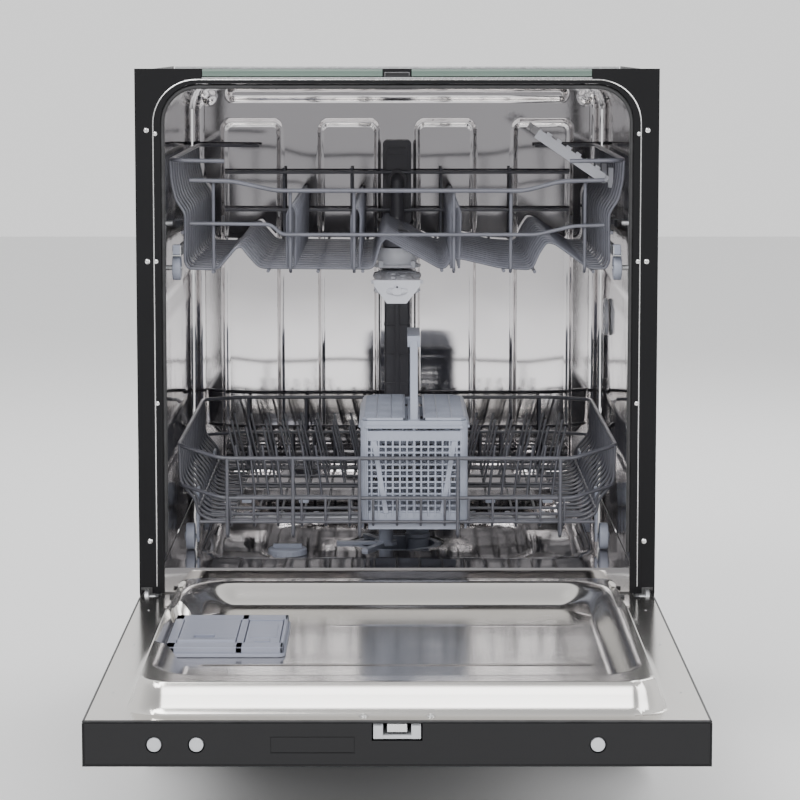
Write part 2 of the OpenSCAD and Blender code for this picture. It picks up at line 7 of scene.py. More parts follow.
import bmesh
import bpy
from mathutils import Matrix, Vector


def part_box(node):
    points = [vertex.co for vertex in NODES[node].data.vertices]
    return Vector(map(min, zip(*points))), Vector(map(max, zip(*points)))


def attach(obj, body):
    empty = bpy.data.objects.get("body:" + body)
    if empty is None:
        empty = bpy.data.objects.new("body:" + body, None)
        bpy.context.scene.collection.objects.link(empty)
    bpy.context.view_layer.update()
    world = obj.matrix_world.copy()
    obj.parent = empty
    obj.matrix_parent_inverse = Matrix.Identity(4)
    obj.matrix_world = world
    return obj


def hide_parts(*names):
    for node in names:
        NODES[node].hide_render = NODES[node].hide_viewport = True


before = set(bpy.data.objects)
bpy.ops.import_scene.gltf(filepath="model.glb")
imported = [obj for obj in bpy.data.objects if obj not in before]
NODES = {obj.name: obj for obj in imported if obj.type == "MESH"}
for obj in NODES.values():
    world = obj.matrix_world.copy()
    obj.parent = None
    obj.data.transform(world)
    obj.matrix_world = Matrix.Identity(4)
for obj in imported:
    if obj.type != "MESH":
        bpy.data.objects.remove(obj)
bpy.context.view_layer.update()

MM = 0.001
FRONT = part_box("front_frame")[0].y
HINGE_Z = 210
HINGE_Y = -4
TUB_BACK = 546
HUB_Y = 290
DOOR_HALF = 296
SIDES = (-1, 1)
UP, BACK, FORWARD = (0, 0, 1), (0, 1, 0), (0, -1, 0)
BOX_FACES = [(0, 1, 3, 2), (4, 6, 7, 5), (0, 4, 5, 1), (2, 3, 7, 6), (0, 2, 6, 4), (1, 5, 7, 3)]


def P(x, y, z):
    """Point in metres from design millimetres, with Y = 0 on the front frame plane."""
    return Vector((x * MM, FRONT + y * MM, z * MM))


def D(x, y, z):
    """Point on the open door, from the millimetres it has when the door is closed."""
    return P(x, HINGE_Y - (z - HINGE_Z), HINGE_Z + (y - HINGE_Y))


def front_view(x, z, y):
    """Place of an outline drawn from the front and pushed along Y."""
    return P(x, y, z)


def side_view(y, z, x):
    """Place of an outline drawn from the side and pushed along X."""
    return P(x, y, z)


def door_front_view(x, z, y):
    """As front_view, for the door."""
    return D(x, y, z)


def door_side_view(y, z, x):
    """As side_view, for the door."""
    return D(x, y, z)


def across(y, *points):
    """Path of (x, z) points in the plane at y."""
    return [P(x, y, z) for x, z in points]


def along(x, *points):
    """Path of (y, z) points in the plane at x."""
    return [P(x, y, z) for y, z in points]


def link(obj):
    """Puts an object in the scene."""
    bpy.context.scene.collection.objects.link(obj)
    return obj


# ---------------------------------------------------------------- materials

def node_material(name, color, rough=0.4, metal=0.0, coat=0.0, coat_rough=0.1, sheen=0.0,
                  specular=0.5):
    """A principled material, with its tree and shader ready for more nodes."""
    m = bpy.data.materials.new(name)
    m.use_nodes = True
    tree = m.node_tree
    shader = tree.nodes["Principled BSDF"]
    shader.inputs["Base Color"].default_value = (*color, 1)
    shader.inputs["Roughness"].default_value = rough
    shader.inputs["Metallic"].default_value = metal
    shader.inputs["Coat Weight"].default_value = coat
    shader.inputs["Coat Roughness"].default_value = coat_rough
    shader.inputs["Sheen Weight"].default_value = sheen
    shader.inputs["Specular IOR Level"].default_value = specular
    return m, tree, shader


def noise(tree, scale, detail=4.0, rough=0.55, stretch=(1, 1, 1)):
    """Object-space noise; stretch scales each axis."""
    coord = tree.nodes.new("ShaderNodeTexCoord")
    mapping = tree.nodes.new("ShaderNodeMapping")
    mapping.inputs["Scale"].default_value = stretch
    tex = tree.nodes.new("ShaderNodeTexNoise")
    tex.inputs["Scale"].default_value = scale
    tex.inputs["Detail"].default_value = detail
    tex.inputs["Roughness"].default_value = rough
    tree.links.new(coord.outputs["Object"], mapping.inputs["Vector"])
    tree.links.new(mapping.outputs["Vector"], tex.inputs["Vector"])
    return tex.outputs["Fac"]


def ramp(tree, source, low, high, start=0.3, stop=0.7):
    """Colour ramp between two colours."""
    node = tree.nodes.new("ShaderNodeValToRGB")
    node.color_ramp.elements[0].position = start
    node.color_ramp.elements[1].position = stop
    node.color_ramp.elements[0].color = (*low, 1)
    node.color_ramp.elements[1].color = (*high, 1)
    tree.links.new(source, node.inputs["Fac"])
    return node.outputs["Color"]


def spread(tree, source, low, high):
    """Maps a 0 to 1 value to the range low to high."""
    node = tree.nodes.new("ShaderNodeMapRange")
    node.inputs["To Min"].default_value = low
    node.inputs["To Max"].default_value = high
    tree.links.new(source, node.inputs["Value"])
    return node.outputs["Result"]


def bump(tree, shader, source, strength, distance, below=None):
    """Adds a bump from a height value, on top of an earlier bump."""
    node = tree.nodes.new("ShaderNodeBump")
    node.inputs["Strength"].default_value = strength
    node.inputs["Distance"].default_value = distance
    tree.links.new(source, node.inputs["Height"])
    if below is not None:
        tree.links.new(below, node.inputs["Normal"])
    tree.links.new(node.outputs["Normal"], shader.inputs["Normal"])
    return node.outputs["Normal"]


def shade(color, k):
    """A lighter or darker version of a colour."""
    return tuple(min(1.0, c * k) for c in color)


def plastic(name, color, rough=0.38, grain=0.25, coat=0.0, specular=0.45):
    """Moulded plastic: fine spark-eroded grain, slight colour and gloss variation."""
    m, tree, shader = node_material(name, color, rough, coat=coat, specular=specular)
    broad = noise(tree, 9, 3)
    fine = noise(tree, 900, 2)
    tree.links.new(ramp(tree, broad, shade(color, 0.93), shade(color, 1.06)), shader.inputs["Base Color"])
    tree.links.new(spread(tree, broad, rough * 0.85, rough * 1.15), shader.inputs["Roughness"])
    bump(tree, shader, fine, grain, 0.00012)
    return m


def coated_wire(name, color):
    """Nylon-dipped wire: smooth gloss with soft runs and faint speckle."""
    m, tree, shader = node_material(name, color, 0.3, coat=0.35, coat_rough=0.22)
    broad = noise(tree, 38, 4)
    fine = noise(tree, 1400, 2)
    tree.links.new(ramp(tree, broad, shade(color, 0.86), shade(color, 1.12)), shader.inputs["Base Color"])
    tree.links.new(spread(tree, fine, 0.24, 0.4), shader.inputs["Roughness"])
    bump(tree, shader, broad, 0.12, 0.0004)
    return m


def steel(name, color, rough, brush=(1, 1, 1), brush_scale=600, brush_depth=0.05, wave=0.0,
          wave_scale=5.0):
    """Stainless sheet: brushed grain, wandering gloss, and shallow waves in the reflection."""
    m, tree, shader = node_material(name, color, rough, metal=1.0)
    grain = noise(tree, brush_scale, 3, 0.6, brush)
    cloud = noise(tree, 3.0, 3)
    tree.links.new(ramp(tree, cloud, shade(color, 0.95), shade(color, 1.05)), shader.inputs["Base Color"])
    tree.links.new(spread(tree, grain, rough * 0.8, rough * 1.3), shader.inputs["Roughness"])
    normal = bump(tree, shader, grain, brush_depth, 0.0001)
    if wave:
        bump(tree, shader, noise(tree, wave_scale, 2, 0.4), wave, 0.006, normal)
    return m


def painted(name, color, rough=0.45):
    """Stoved paint: orange peel and a faint clear coat."""
    m, tree, shader = node_material(name, color, rough, coat=0.03, coat_rough=0.3, specular=0.18)
    peel = noise(tree, 420, 3)
    broad = noise(tree, 6, 3)
    tree.links.new(ramp(tree, broad, shade(color, 0.85), shade(color, 1.2)), shader.inputs["Base Color"])
    tree.links.new(spread(tree, broad, rough * 0.85, rough * 1.2), shader.inputs["Roughness"])
    bump(tree, shader, peel, 0.12, 0.0002)
    return m


def galvanised_steel():
    """Zinc spangle over bare sheet."""
    m, tree, shader = node_material("galvanised", (0.56, 0.57, 0.58), 0.4, metal=1.0)
    coord = tree.nodes.new("ShaderNodeTexCoord")
    cell = tree.nodes.new("ShaderNodeTexVoronoi")
    cell.inputs["Scale"].default_value = 160
    tree.links.new(coord.outputs["Object"], cell.inputs["Vector"])
    tree.links.new(ramp(tree, cell.outputs["Color"], (0.5, 0.51, 0.52), (0.62, 0.63, 0.64), 0.2, 0.8),
                   shader.inputs["Base Color"])
    tree.links.new(spread(tree, cell.outputs["Distance"], 0.34, 0.5), shader.inputs["Roughness"])
    bump(tree, shader, noise(tree, 300, 2), 0.08, 0.0002)
    return m


def rubber_compound():
    """Black rubber with a dull bloom."""
    m, tree, shader = node_material("rubber", (0.018, 0.018, 0.02), 0.62, sheen=0.15)
    bloom = noise(tree, 60, 4)
    tree.links.new(ramp(tree, bloom, (0.012, 0.012, 0.013), (0.032, 0.032, 0.034)),
                   shader.inputs["Base Color"])
    tree.links.new(spread(tree, bloom, 0.5, 0.75), shader.inputs["Roughness"])
    bump(tree, shader, noise(tree, 700, 2), 0.2, 0.0002)
    return m


def felt_fibre():
    """Matted grey fibre."""
    m, tree, shader = node_material("felt", (0.09, 0.09, 0.095), 0.95, sheen=0.4)
    fibre = noise(tree, 260, 6, 0.7, (1, 1, 3))
    tree.links.new(ramp(tree, fibre, (0.04, 0.04, 0.045), (0.19, 0.19, 0.2)), shader.inputs["Base Color"])
    bump(tree, shader, fibre, 0.9, 0.0012)
    return m


MAT = {
    "paint": painted("black_paint", (0.004, 0.004, 0.005)),
    "mirror": steel("tub_steel", (0.62, 0.6, 0.595), 0.06, brush=(8, 8, 0.3), wave=0.2, wave_scale=9),
    "back": steel("tub_back_steel", (0.68, 0.66, 0.67), 0.05, brush=(8, 8, 0.3), wave=0.1, wave_scale=6),
    "door_steel": steel("door_steel", (0.74, 0.72, 0.69), 0.16, brush=(0.3, 8, 8), wave=0.06,
                        wave_scale=6),
    "zinc": galvanised_steel(),
    "screw": steel("screw_steel", (0.7, 0.7, 0.7), 0.25, brush_scale=300),
    "black_plastic": plastic("black_plastic", (0.02, 0.02, 0.022), 0.45),
    "duct": plastic("duct_grey", (0.085, 0.085, 0.1), 0.32),
    "rubber": rubber_compound(),
    "trim": plastic("trim_grey", (0.12, 0.17, 0.145), 0.2, 0.05, coat=0.2),
    "wire": coated_wire("rack_wire", (0.115, 0.119, 0.145)),
    "wire_dark": coated_wire("rack_wire_dark", (0.075, 0.077, 0.094)),
    "grey": plastic("basket_grey", (0.33, 0.355, 0.43), 0.36),
    "pale": plastic("arm_grey", (0.5, 0.51, 0.56), 0.28, 0.12, coat=0.2),
    "dispenser": plastic("dispenser_grey", (0.25, 0.265, 0.33), 0.4),
    "white": plastic("valve_white", (0.75, 0.75, 0.73), 0.35),
    "outer": painted("door_paint", (0.008, 0.008, 0.009), 0.42),
    "fascia": plastic("fascia_black", (0.006, 0.006, 0.007), 0.25, 0.05, coat=0.08, specular=0.25),
    "button": plastic("button_grey", (0.5, 0.51, 0.53), 0.3, 0.1, coat=0.3),
    "felt": felt_fibre(),
}

NODE_LOOKS = {
    "paint": ["front_frame", "side_panel_left", "side_panel_right", "toe_kick"],
    "mirror": ["tub_wrapper", "tub_back_wall", "tub_floor"],
    "door_steel": ["inner_door_panel"],
    "zinc": ["rear_panel", "worktop_brackets", "rail_brackets", "hinge_brackets", "hinge_arms",
             "door_springs"],
    "screw": ["frame_screws"],
    "black_plastic": ["base_tray", "sump_housing", "cable_gland", "drain_outlet", "foot_front_left",
                      "foot_front_right", "foot_rear"],
    "duct": ["feed_duct", "upper_feed_tube", "circulation_pump", "drain_pump"],
    "rubber": ["door_gasket", "door_seal"],
    "trim": ["trim_strips"],
    "wire": ["upper_rack_floor", "upper_rack_walls"],
    "wire_dark": ["lower_rack_floor", "lower_rack_walls", "lower_rack_tines", "fold_tines"],
    "grey": ["cutlery_basket", "basket_lid_left", "basket_lid_right", "front_wheels", "rear_wheels",
             "rail_rollers", "lower_arm_hub", "coarse_filter", "fine_filter", "salt_cap", "air_break"],
    "pale": ["upper_spray_arm", "lower_spray_arm", "cup_shelf"],
    "white": ["inlet_valve"],
    "dispenser": ["dispenser_body", "detergent_lid", "rinse_aid_lid"],
    "outer": ["outer_door_panel"],
    "fascia": ["control_fascia"],
    "button": ["power_button", "program_button", "start_button", "latch_body", "latch_hook"],
}
for look, names in NODE_LOOKS.items():
    for name in names:
        slots = NODES[name].material_slots
        if not slots:
            NODES[name].data.materials.append(MAT[look])
        for s in slots:
            s.material = MAT[look]


# ---------------------------------------------------------------- mesh tools

class Build:
    """Gathers faces, in metres, and turns them into one object; shift moves them along X."""

    def __init__(self, shift=0):
        self.shift = Vector((shift * MM, 0, 0))
        self.verts = []
        self.faces = []

    def add(self, verts, faces):
        base = len(self.verts)
        self.verts.extend([v + self.shift for v in verts])
        self.faces.extend([tuple(base + i for i in f) for f in faces])

    def tube(self, points, radius, sides=10, closed=False):
        """Sweeps a circle along points, with parallel-transported rings."""
        n = len(points)
        rings = []
        up = None
        for i, p in enumerate(points):
            if closed:
                t = points[(i + 1) % n] - points[i - 1]
            else:
                t = points[min(i + 1, n - 1)] - points[max(i - 1, 0)]
            t.normalize()
            if up is None:
                up = t.orthogonal().normalized()
            up = (up - t * up.dot(t)).normalized()
            side = t.cross(up)
            rings.append([p + (up * math.cos(a) + side * math.sin(a)) * radius
                          for a in (2 * math.pi * k / sides for k in range(sides))])
        verts = [v for r in rings for v in r]
        faces = []
        for i in range(n if closed else n - 1):
            j = (i + 1) % n
            for k in range(sides):
                m = (k + 1) % sides
                faces.append((i * sides + k, i * sides + m, j * sides + m, j * sides + k))
        if not closed:
            faces.append(tuple(range(sides))[::-1])
            faces.append(tuple((n - 1) * sides + k for k in range(sides)))
        self.add(verts, faces)

    def wire(self, corners, diameter, bend=8, sides=10, closed=False):
        """Bent wire through corners given in metres; diameter and bend are in millimetres."""
        self.tube(rounded_path(corners, bend * MM, closed), diameter * MM / 2, sides, closed)

    def lathe(self, center, axis, profile, sides=32):
        """Turns (distance along axis, radius) pairs, in millimetres, about an axis."""
        axis = Vector(axis).normalized()
        u = axis.orthogonal().normalized()
        v = axis.cross(u)
        verts = []
        for a, r in profile:
            for k in range(sides):
                t = 2 * math.pi * k / sides
                verts.append(center + axis * a * MM + (u * math.cos(t) + v * math.sin(t)) * r * MM)
        faces = []
        for i in range(len(profile) - 1):
            for k in range(sides):
                m = (k + 1) % sides
                faces.append((i * sides + k, i * sides + m, (i + 1) * sides + m, (i + 1) * sides + k))
        if profile[0] != profile[-1]:
            faces.append(tuple(range(sides))[::-1])
            faces.append(tuple((len(profile) - 1) * sides + k for k in range(sides)))
        self.add(verts, faces)

    def box(self, low, high, place=P):
        """Plain bar between two corners, in design millimetres."""
        xs, ys, zs = zip(low, high)
        verts = [place(x, y, z) for x in xs for y in ys for z in zs]
        self.add(verts, BOX_FACES)

    def boxes(self, corner_pairs, place=P):
        """Several plain bars."""
        for low, high in corner_pairs:
            self.box(low, high, place)

    def studs(self, x, y, radius, count, profile):
        """Small pins in a ring about an upright axis."""
        for k in range(count):
            a = 2 * math.pi * k / count
            self.lathe(P(x + radius * math.cos(a), y + radius * math.sin(a), 0), UP, profile, 8)

    def surface(self, us, vs, point):
        """Quad surface through point(u, v), with one row for each u."""
        self.grid([[point(u, v) for v in vs] for u in us])

    def grid(self, rows):
        """Quad surface through rows of points."""
        w = len(rows[0])
        faces = [(i * w + k, i * w + k + 1, (i + 1) * w + k + 1, (i + 1) * w + k)
                 for i in range(len(rows) - 1) for k in range(w - 1)]
        self.add([p for r in rows for p in r], faces)

    def prism(self, outline, place, low, high):
        """Outline of (a, b) pairs pushed from low to high; place(a, b, c) gives the point."""
        n = len(outline)
        verts = [place(a, b, low) for a, b in outline] + [place(a, b, high) for a, b in outline]
        faces = [(k, (k + 1) % n, n + (k + 1) % n, n + k) for k in range(n)]
        faces += [tuple(range(n))[::-1], tuple(range(n, 2 * n))]
        self.add(verts, faces)

    def done(self, name, material, body, slot=None, replaces=(), bevel=0.0, thick=0.0, segments=2):
        """The finished piece: smooth shaded, bevelled or thickened, riding on its body."""
        mesh = bpy.data.meshes.new(name)
        mesh.from_pydata([tuple(v) for v in self.verts], [], self.faces)
        mesh.validate()
        bm = bmesh.new()
        bm.from_mesh(mesh)
        bmesh.ops.recalc_face_normals(bm, faces=bm.faces)
        bm.to_mesh(mesh)
        bm.free()
        obj = link(bpy.data.objects.new(name, mesh))
        mesh.materials.append(MAT[material])
        if thick:
            shell = obj.modifiers.new("thickness", "SOLIDIFY")
            shell.thickness = thick * MM
            shell.offset = 0
        if bevel:
            edge = obj.modifiers.new("edges", "BEVEL")
            edge.width = bevel * MM
            edge.segments = segments
            edge.limit_method = "ANGLE"
            edge.angle_limit = math.radians(35)
            edge.harden_normals = True
        mesh.polygons.foreach_set("use_smooth", [True] * len(mesh.polygons))
        mesh.set_sharp_from_angle(angle=math.radians(38))
        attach(obj, body)
        if replaces:
            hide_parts(*replaces)
        return obj


def rounded_path(corners, radius, closed=False, steps=5):
    """Polyline with each corner replaced by a short curve."""
    n = len(corners)
    out = []
    for i, c in enumerate(corners):
        if not closed and i in (0, n - 1):
            out.append(c.copy())
            continue
        a, b = corners[i - 1], corners[(i + 1) % n]
        u, v = (a - c), (b - c)
        if u.length < 1e-7 or v.length < 1e-7:
            continue
        if u.angle(v) > math.radians(176):
            out.append(c.copy())
            continue
        cut = min(radius, u.length * 0.45, v.length * 0.45)
        s, e = c + u.normalized() * cut, c + v.normalized() * cut
        for k in range(steps + 1):
            t = k / steps
            out.append(s * (1 - t) ** 2 + c * 2 * t * (1 - t) + e * t ** 2)
    return out


def rounded_outline(cx, cy, w, h, r, steps=6):
    """Rounded rectangle as (a, b) pairs."""
    out = []
    for sx, sy, start in ((1, 1, 0), (-1, 1, 90), (-1, -1, 180), (1, -1, 270)):
        for k in range(steps + 1):
            t = math.radians(start + 90 * k / steps)
            out.append((cx + sx * (w / 2 - r) + r * math.cos(t), cy + sy * (h / 2 - r) + r * math.sin(t)))
    return out


def smoothstep(a, b, x):
    """0 up to a, 1 from b on, and a smooth rise between."""
    t = max(0.0, min(1.0, (x - a) / (b - a)))
    return t * t * (3 - 2 * t)


def box_distance(x, y, w, h, r):
    """Signed distance from a rounded rectangle centred on the origin; negative inside."""
    qx, qy = abs(x) - w / 2 + r, abs(y) - h / 2 + r
    return math.hypot(max(qx, 0), max(qy, 0)) + min(max(qx, qy), 0) - r


def span(a, b, n):
    """Even values from a to b, n steps apart."""
    return [a + (b - a) * i / n for i in range(n + 1)]


# ---------------------------------------------------------------- racks

RACK_FRONT = (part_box("lower_rack_floor")[0].y - FRONT) / MM - 8
RACK_REAR = RACK_FRONT + 484
WHEEL_ROWS = (RACK_FRONT + 86, RACK_FRONT + 398)
AXLE_Z = 259.3
WIRE = 4.0
RIM = 5.0


def lower_rack():
    """Round-wire basket: chamfered rims, side hoops, five tall posts and long floor wires."""
    walls, floor = Build(), Build()
    front, rear = RACK_FRONT + 3, RACK_REAR - 3
    dip = 11
    for z, half, d in ((377, 258, RIM), (330, 257, RIM - 0.6)):
        end = half - 52
        loop = [P(-half, front + 31.2, z), *across(front, (-end, z - dip), (end, z - dip)),
                *along(half, (front + 31.2, z), (rear - 26, z)), *across(rear, (end, z), (-end, z)),
                P(-half, rear - 26, z)]
        walls.wire(loop, d, 12, closed=True)
    # side hoops; every third one crosses the floor
    for k, y in enumerate(span(RACK_FRONT + 34, RACK_REAR - 34, 15)):
        for sx in SIDES:
            side = [(sx * x, z) for x, z in ((257, 377), (256, 333), (238, 312), (236, 296), (222, 288))]
            floor.wire(across(y, *side, (0 if k % 3 == 0 else sx * 196, 288)), WIRE - 0.2, 9)
    # long wires: up the front to the second rim, along the floor, and up the rear
    for x in span(-196, 196, 14):
        walls.wire(along(x, (front - 1, 319), (front + 3, 292), (front + 12, 283.5), (rear - 12, 283.5),
                         (rear - 3, 292), (rear, 330)), WIRE - 0.8, 10)
    for x in (-199, -122, -44, 71, 191):
        for y, inward, top in ((front - 2, 1, 366), (rear + 1, -1, 377)):
            hook = ((0, top), (0, 276), (7, 272), (14, 276), (15, 300))
            walls.wire(along(x, *((y + inward * h, z) for h, z in hook)), WIRE + 0.2, 6)
    for y in (front + 5, front + 60, rear - 60, rear - 5):
        floor.wire(across(y, (-232, 290), (232, 290)), WIRE, 4)
    for sx in SIDES:
        floor.wire(along(sx * 236, (RACK_FRONT + 40, 300), (RACK_REAR - 40, 300)), WIRE + 0.6, 4)
    walls.done("lower_rack_wires", "wire_dark", "lower_rack", "rack_wire", ("lower_rack_walls",))
    floor.done("lower_rack_grid", "wire_dark", "lower_rack", "rack_wire", ("lower_rack_floor",))

    brackets = Build()
    for y in WHEEL_ROWS:
        outline = [(y - 13, 318), (y + 13, 318), (y + 11, 262), (y + 6, 253), (y - 6, 253), (y - 11, 262)]
        for sx in SIDES:
            brackets.prism(outline, side_view, sx * 237.6, sx * 240.6)
            brackets.lathe(P(sx * 240.4, y, AXLE_Z), (sx, 0, 0), [(0, 3), (13.2, 3)], 20)
            brackets.lathe(P(sx * 253.6, y, AXLE_Z), (sx, 0, 0), [(0, 5.4), (1.2, 5.2), (1.8, 3.6)], 20)
    brackets.done("wheel_brackets", "grey", "lower_rack", "grey_plastic", bevel=0.6)

    tip = [(-1, 1.8), (0.6, 1.7), (1.5, 0.9)]
    tines = Build()
    for y in (RACK_FRONT + 288, RACK_FRONT + 353, RACK_FRONT + 418):
        xs = span(-198, 198, 18)
        tines.wire(across(y, (xs[0] - 8, 290.6), (xs[-1] + 8, 290.6)), WIRE - 0.4, 4)
        for x in xs:
            lean = math.copysign(17, x)
            top = P(x + lean, y + 14, 361)
            tines.wire([P(x, y, 290), P(x + lean * 0.12, y + 3, 300), top], WIRE - 0.8, 6)
            tines.lathe(top, (lean * 0.014, 0.2, 1), tip, 10)
    tines.done("plate_tines", "wire_dark", "lower_rack", "rack_wire", ("lower_rack_tines",))

    fold = Build()
    y = RACK_FRONT + 150
    for sx, inner, count in ((-1, 84, 6), (1, 104, 5)):
        fold.wire(across(y, (sx * inner, 297), (sx * 196, 297)), WIRE, 4)
        for x in span(inner + 8, 190, count):
            top = P(sx * (x + 8), y + 12, 357)
            fold.wire([P(sx * x, y, 297), P(sx * (x + 1), y + 2, 306), top], WIRE - 0.8, 6)
            fold.lathe(top, (sx * 0.14, 0.2, 1), tip, 10)
    fold.done("folding_tine_rows", "wire_dark", "fold_tines", "rack_wire", ("fold_tines",))

    clips = Build()
    for sx in SIDES:
        for x in (114, 184):
            clips.box((sx * x - 6, y - 6, 289.5), (sx * x + 6, y + 6, 294.2))
    clips.done("tine_clips", "grey", "lower_rack", "grey_plastic", bevel=1.0)


def wheel_set(node, y, name):
    """Two spoked wheels with a tread and a hub."""
    b = Build()
    r, hub, tread = 16, 6, 12.6
    for sx in SIDES:
        c = P(sx * 242.4, y, AXLE_Z)
        ax = (sx, 0, 0)
        b.lathe(c, ax, [(0.6, 13.4), (0.6, r - 0.9), (1.2, r - 0.2), (2.2, r), (9.2, r),
                        (10.3, r - 0.3), (10.9, r - 1.2), (10.9, 13.0), (7.5, 12.4), (7.5, 12.0),
                        (3.6, 12.0), (3.6, 12.6)], 48)
        b.lathe(c, ax, [(0, 3.08), (0, 6.6), (11.2, 6.2), (11.4, 5.6), (11.4, 3.08)], 28)
        b.lathe(c, ax, [(3.4, 6), (3.4, 12.4), (7.2, 12.4), (7.2, 6)], 28)
        for k in range(6):
            t = math.radians(60 * k)
            u, v = Vector((0, math.cos(t), math.sin(t))), Vector((0, -math.sin(t), math.cos(t)))
            mid = c + Vector((sx * 8.4 * MM, 0, 0))
            corners = [mid + u * r1 * MM + v * w * MM + Vector((sx * h * MM, 0, 0))
                       for r1 in (hub, tread) for w in (-1.1, 1.1) for h in (-1.4, 1.0)]
            b.add(corners, BOX_FACES)
    b.done(name, "grey", node, "grey_plastic", (node,))


def upper_rack():
    """Close-pitched upper basket: stepped sides and a floor folded into cup ridges."""
    front, rear = RACK_FRONT + 3, RACK_REAR - 3
    grid, rails = Build(), Build()
    left = [(-263, 713), (-262, 690), (-257, 668), (-246, 652), (-247, 596), (-243, 588)]
    ridges = [(-209, 587), (-188, 612), (-181, 614), (-175, 606), (-160, 589), (-28, 588), (-19, 618),
              (-13, 624), (-3, 618)]
    right = [(49, 589), (56, 589), (64, 600), (74, 600), (121, 589), (157, 587), (165, 606), (174, 619),
             (184, 617), (224, 588)]
    profile = left + ridges + right + [(-x, z) for x, z in reversed(left)]
    rows = span(RACK_FRONT + 14, RACK_REAR - 14, 13)
    for y in rows:
        grid.wire(across(y, *profile), 3.3, 7, 8)
    # rows of cup dividers
    for x, top in ((-128, 662), (-53, 660), (63, 662)):
        for y in rows:
            divider = ((x, 588), (x, top - 10), (x + 7, top), (x + 11, top - 10), (x + 9, 588))
            grid.wire(across(y, *divider), 3.0, 5, 8)
    for x, z in ((-214, 584.4), (-150, 585.4), (-92, 585), (-40, 585), (52, 586), (124, 585.6),
                 (160, 584.4), (228, 584.6)):
        rails.wire(along(x, (RACK_FRONT + 8, z), (RACK_REAR - 8, z)), WIRE, 4)
    for sx in SIDES:
        rails.wire([P(sx * 200, front + 4, 713), P(sx * 254, front, 714), P(sx * 263, front + 18, 714),
                    P(sx * 263, rear - 18, 714), P(sx * 254, rear, 714), P(sx * 182, rear - 4, 713)], RIM, 9)
        rails.wire(along(sx * 249, (RACK_FRONT + 8, 630), (RACK_REAR - 8, 630)), WIRE, 4)
    # front rim and second wire, with their joggles
    rails.wire(across(front, (-240, 691), (-190, 690), (-140, 679), (148, 679), (190, 690), (240, 691)),
               RIM, 10)
    rails.wire(across(front, (-240, 641), (-146, 640), (-134, 628), (162, 628), (204, 638), (240, 639)),
               RIM - 0.6, 7)
    for z in (678, 628):
        rails.wire(across(rear, (-228, z), (228, z)), RIM - 0.4, 8)
    for x in (-213, -124, -50, 66, 132, 218):
        top = 690 if abs(x) > 180 else 679
        rails.wire(along(x, (front + 5, top), (front + 5, 588), (front + 14, 584)), WIRE - 0.2, 6)
    for x in (-150, -60, 58, 150):
        rails.wire(along(x, (rear + 1, 684), (rear + 1, 594), (rear - 12, 586)), WIRE + 0.2, 6)
    grid.done("upper_rack_grid", "wire", "upper_rack", "rack_wire", ("upper_rack_floor",))
    rails.done("upper_rack_frame", "wire", "upper_rack", "rack_wire", ("upper_rack_walls",))

    runner = Build()
    for sx in SIDES:
        z = 602.8
        outline = [(250.8, z), (261.4, z), (261.4, z + 6), (260, z + 6), (260, z + 1.6), (252.2, z + 1.6),
                   (252.2, z + 12), (250.8, z + 12)]
        runner.prism([(sx * x, z) for x, z in outline], front_view, RACK_FRONT + 4, RACK_REAR - 4)
    runner.done("upper_rack_runners", "zinc", "upper_rack", "galvanised", bevel=0.3)
    stops = Build()
    for sx in SIDES:
        for y in (RACK_FRONT + 4, RACK_REAR - 16):
            stops.box((sx * 255.8 - 5, y, 604.6), (sx * 255.8 + 4.2, y + 12, 616))
    stops.done("runner_stops", "grey", "upper_rack", "grey_plastic", bevel=1.2)


def rail_rollers():
    """Two rollers that carry the upper rack's runners."""
    b = Build()
    for sx in SIDES:
        c = P(sx * 252, 62, 588)
        b.lathe(c, (sx, 0, 0), [(0, 3.1), (0, 12), (0.8, 14.2), (1.6, 14.5), (8.6, 14.5), (9.4, 14.2),
                                (10, 12.4), (10, 10.8), (8.2, 10.4), (8.2, 6), (10, 5.6), (10, 3.1)], 40)
    b.done("guide_rollers", "grey", "rail_rollers", "grey_plastic", ("rail_rollers",))


def cup_shelf():
    """Slatted fold-up shelf with a thick front rail and clips round the rack's side wires."""
    b = Build()
    tilt = math.radians(34)
    hinge_x, hinge_z, length = 250, 688, 99
    front, rear = 150, 400

    def place(u, y, w):
        """u runs out from the hinge, w is across the plate."""
        c, s = math.cos(tilt), math.sin(tilt)
        return P(hinge_x - u * c + w * s, y, hinge_z + u * s + w * c)

    for u0, u1, w0, w1 in ((0, 12, -1.6, 1.6), (length - 12, length, -1.6, 1.6),
                           (length - 4, length, -4.5, 5), (46, 52, -1.2, 1.2)):
        b.box((u0, front, w0), (u1, rear, w1), place)
    b.box((2, front - 2, -8), (length, front + 2, 4), place)
    for u in span(12, 82, 5):
        b.box((u, front - 1.6, 3.4), (u + 7, front + 1.6, 7), place)
    for y in span(front, rear - 6, 10):
        b.box((4, y, -1.4), (length - 4, y + 6, 1.4), place)
    b.lathe(P(hinge_x, front, hinge_z), BACK, [(0, 3.5), (rear - front, 3.5)], 20)
    b.done("folding_cup_shelf", "pale", "cup_shelf", "pale_plastic", ("cup_shelf",), bevel=0.7)
    clips = Build()
    for y in (168, 275, 382):
        clips.box((253.8, y - 5, 676), (259.6, y + 5, 700))
        clips.box((245, y - 5, 682.5), (257, y + 5, 684))
    clips.done("shelf_clips", "pale", "upper_rack", "pale_plastic", bevel=0.6)


# ---------------------------------------------------------------- cutlery basket

BASKET_X = 20
BASKET_Y0 = RACK_FRONT + 12
BASKET_Y1 = BASKET_Y0 + 224
BASKET_Z0 = 291
BASKET_Z1 = BASKET_Z0 + 118


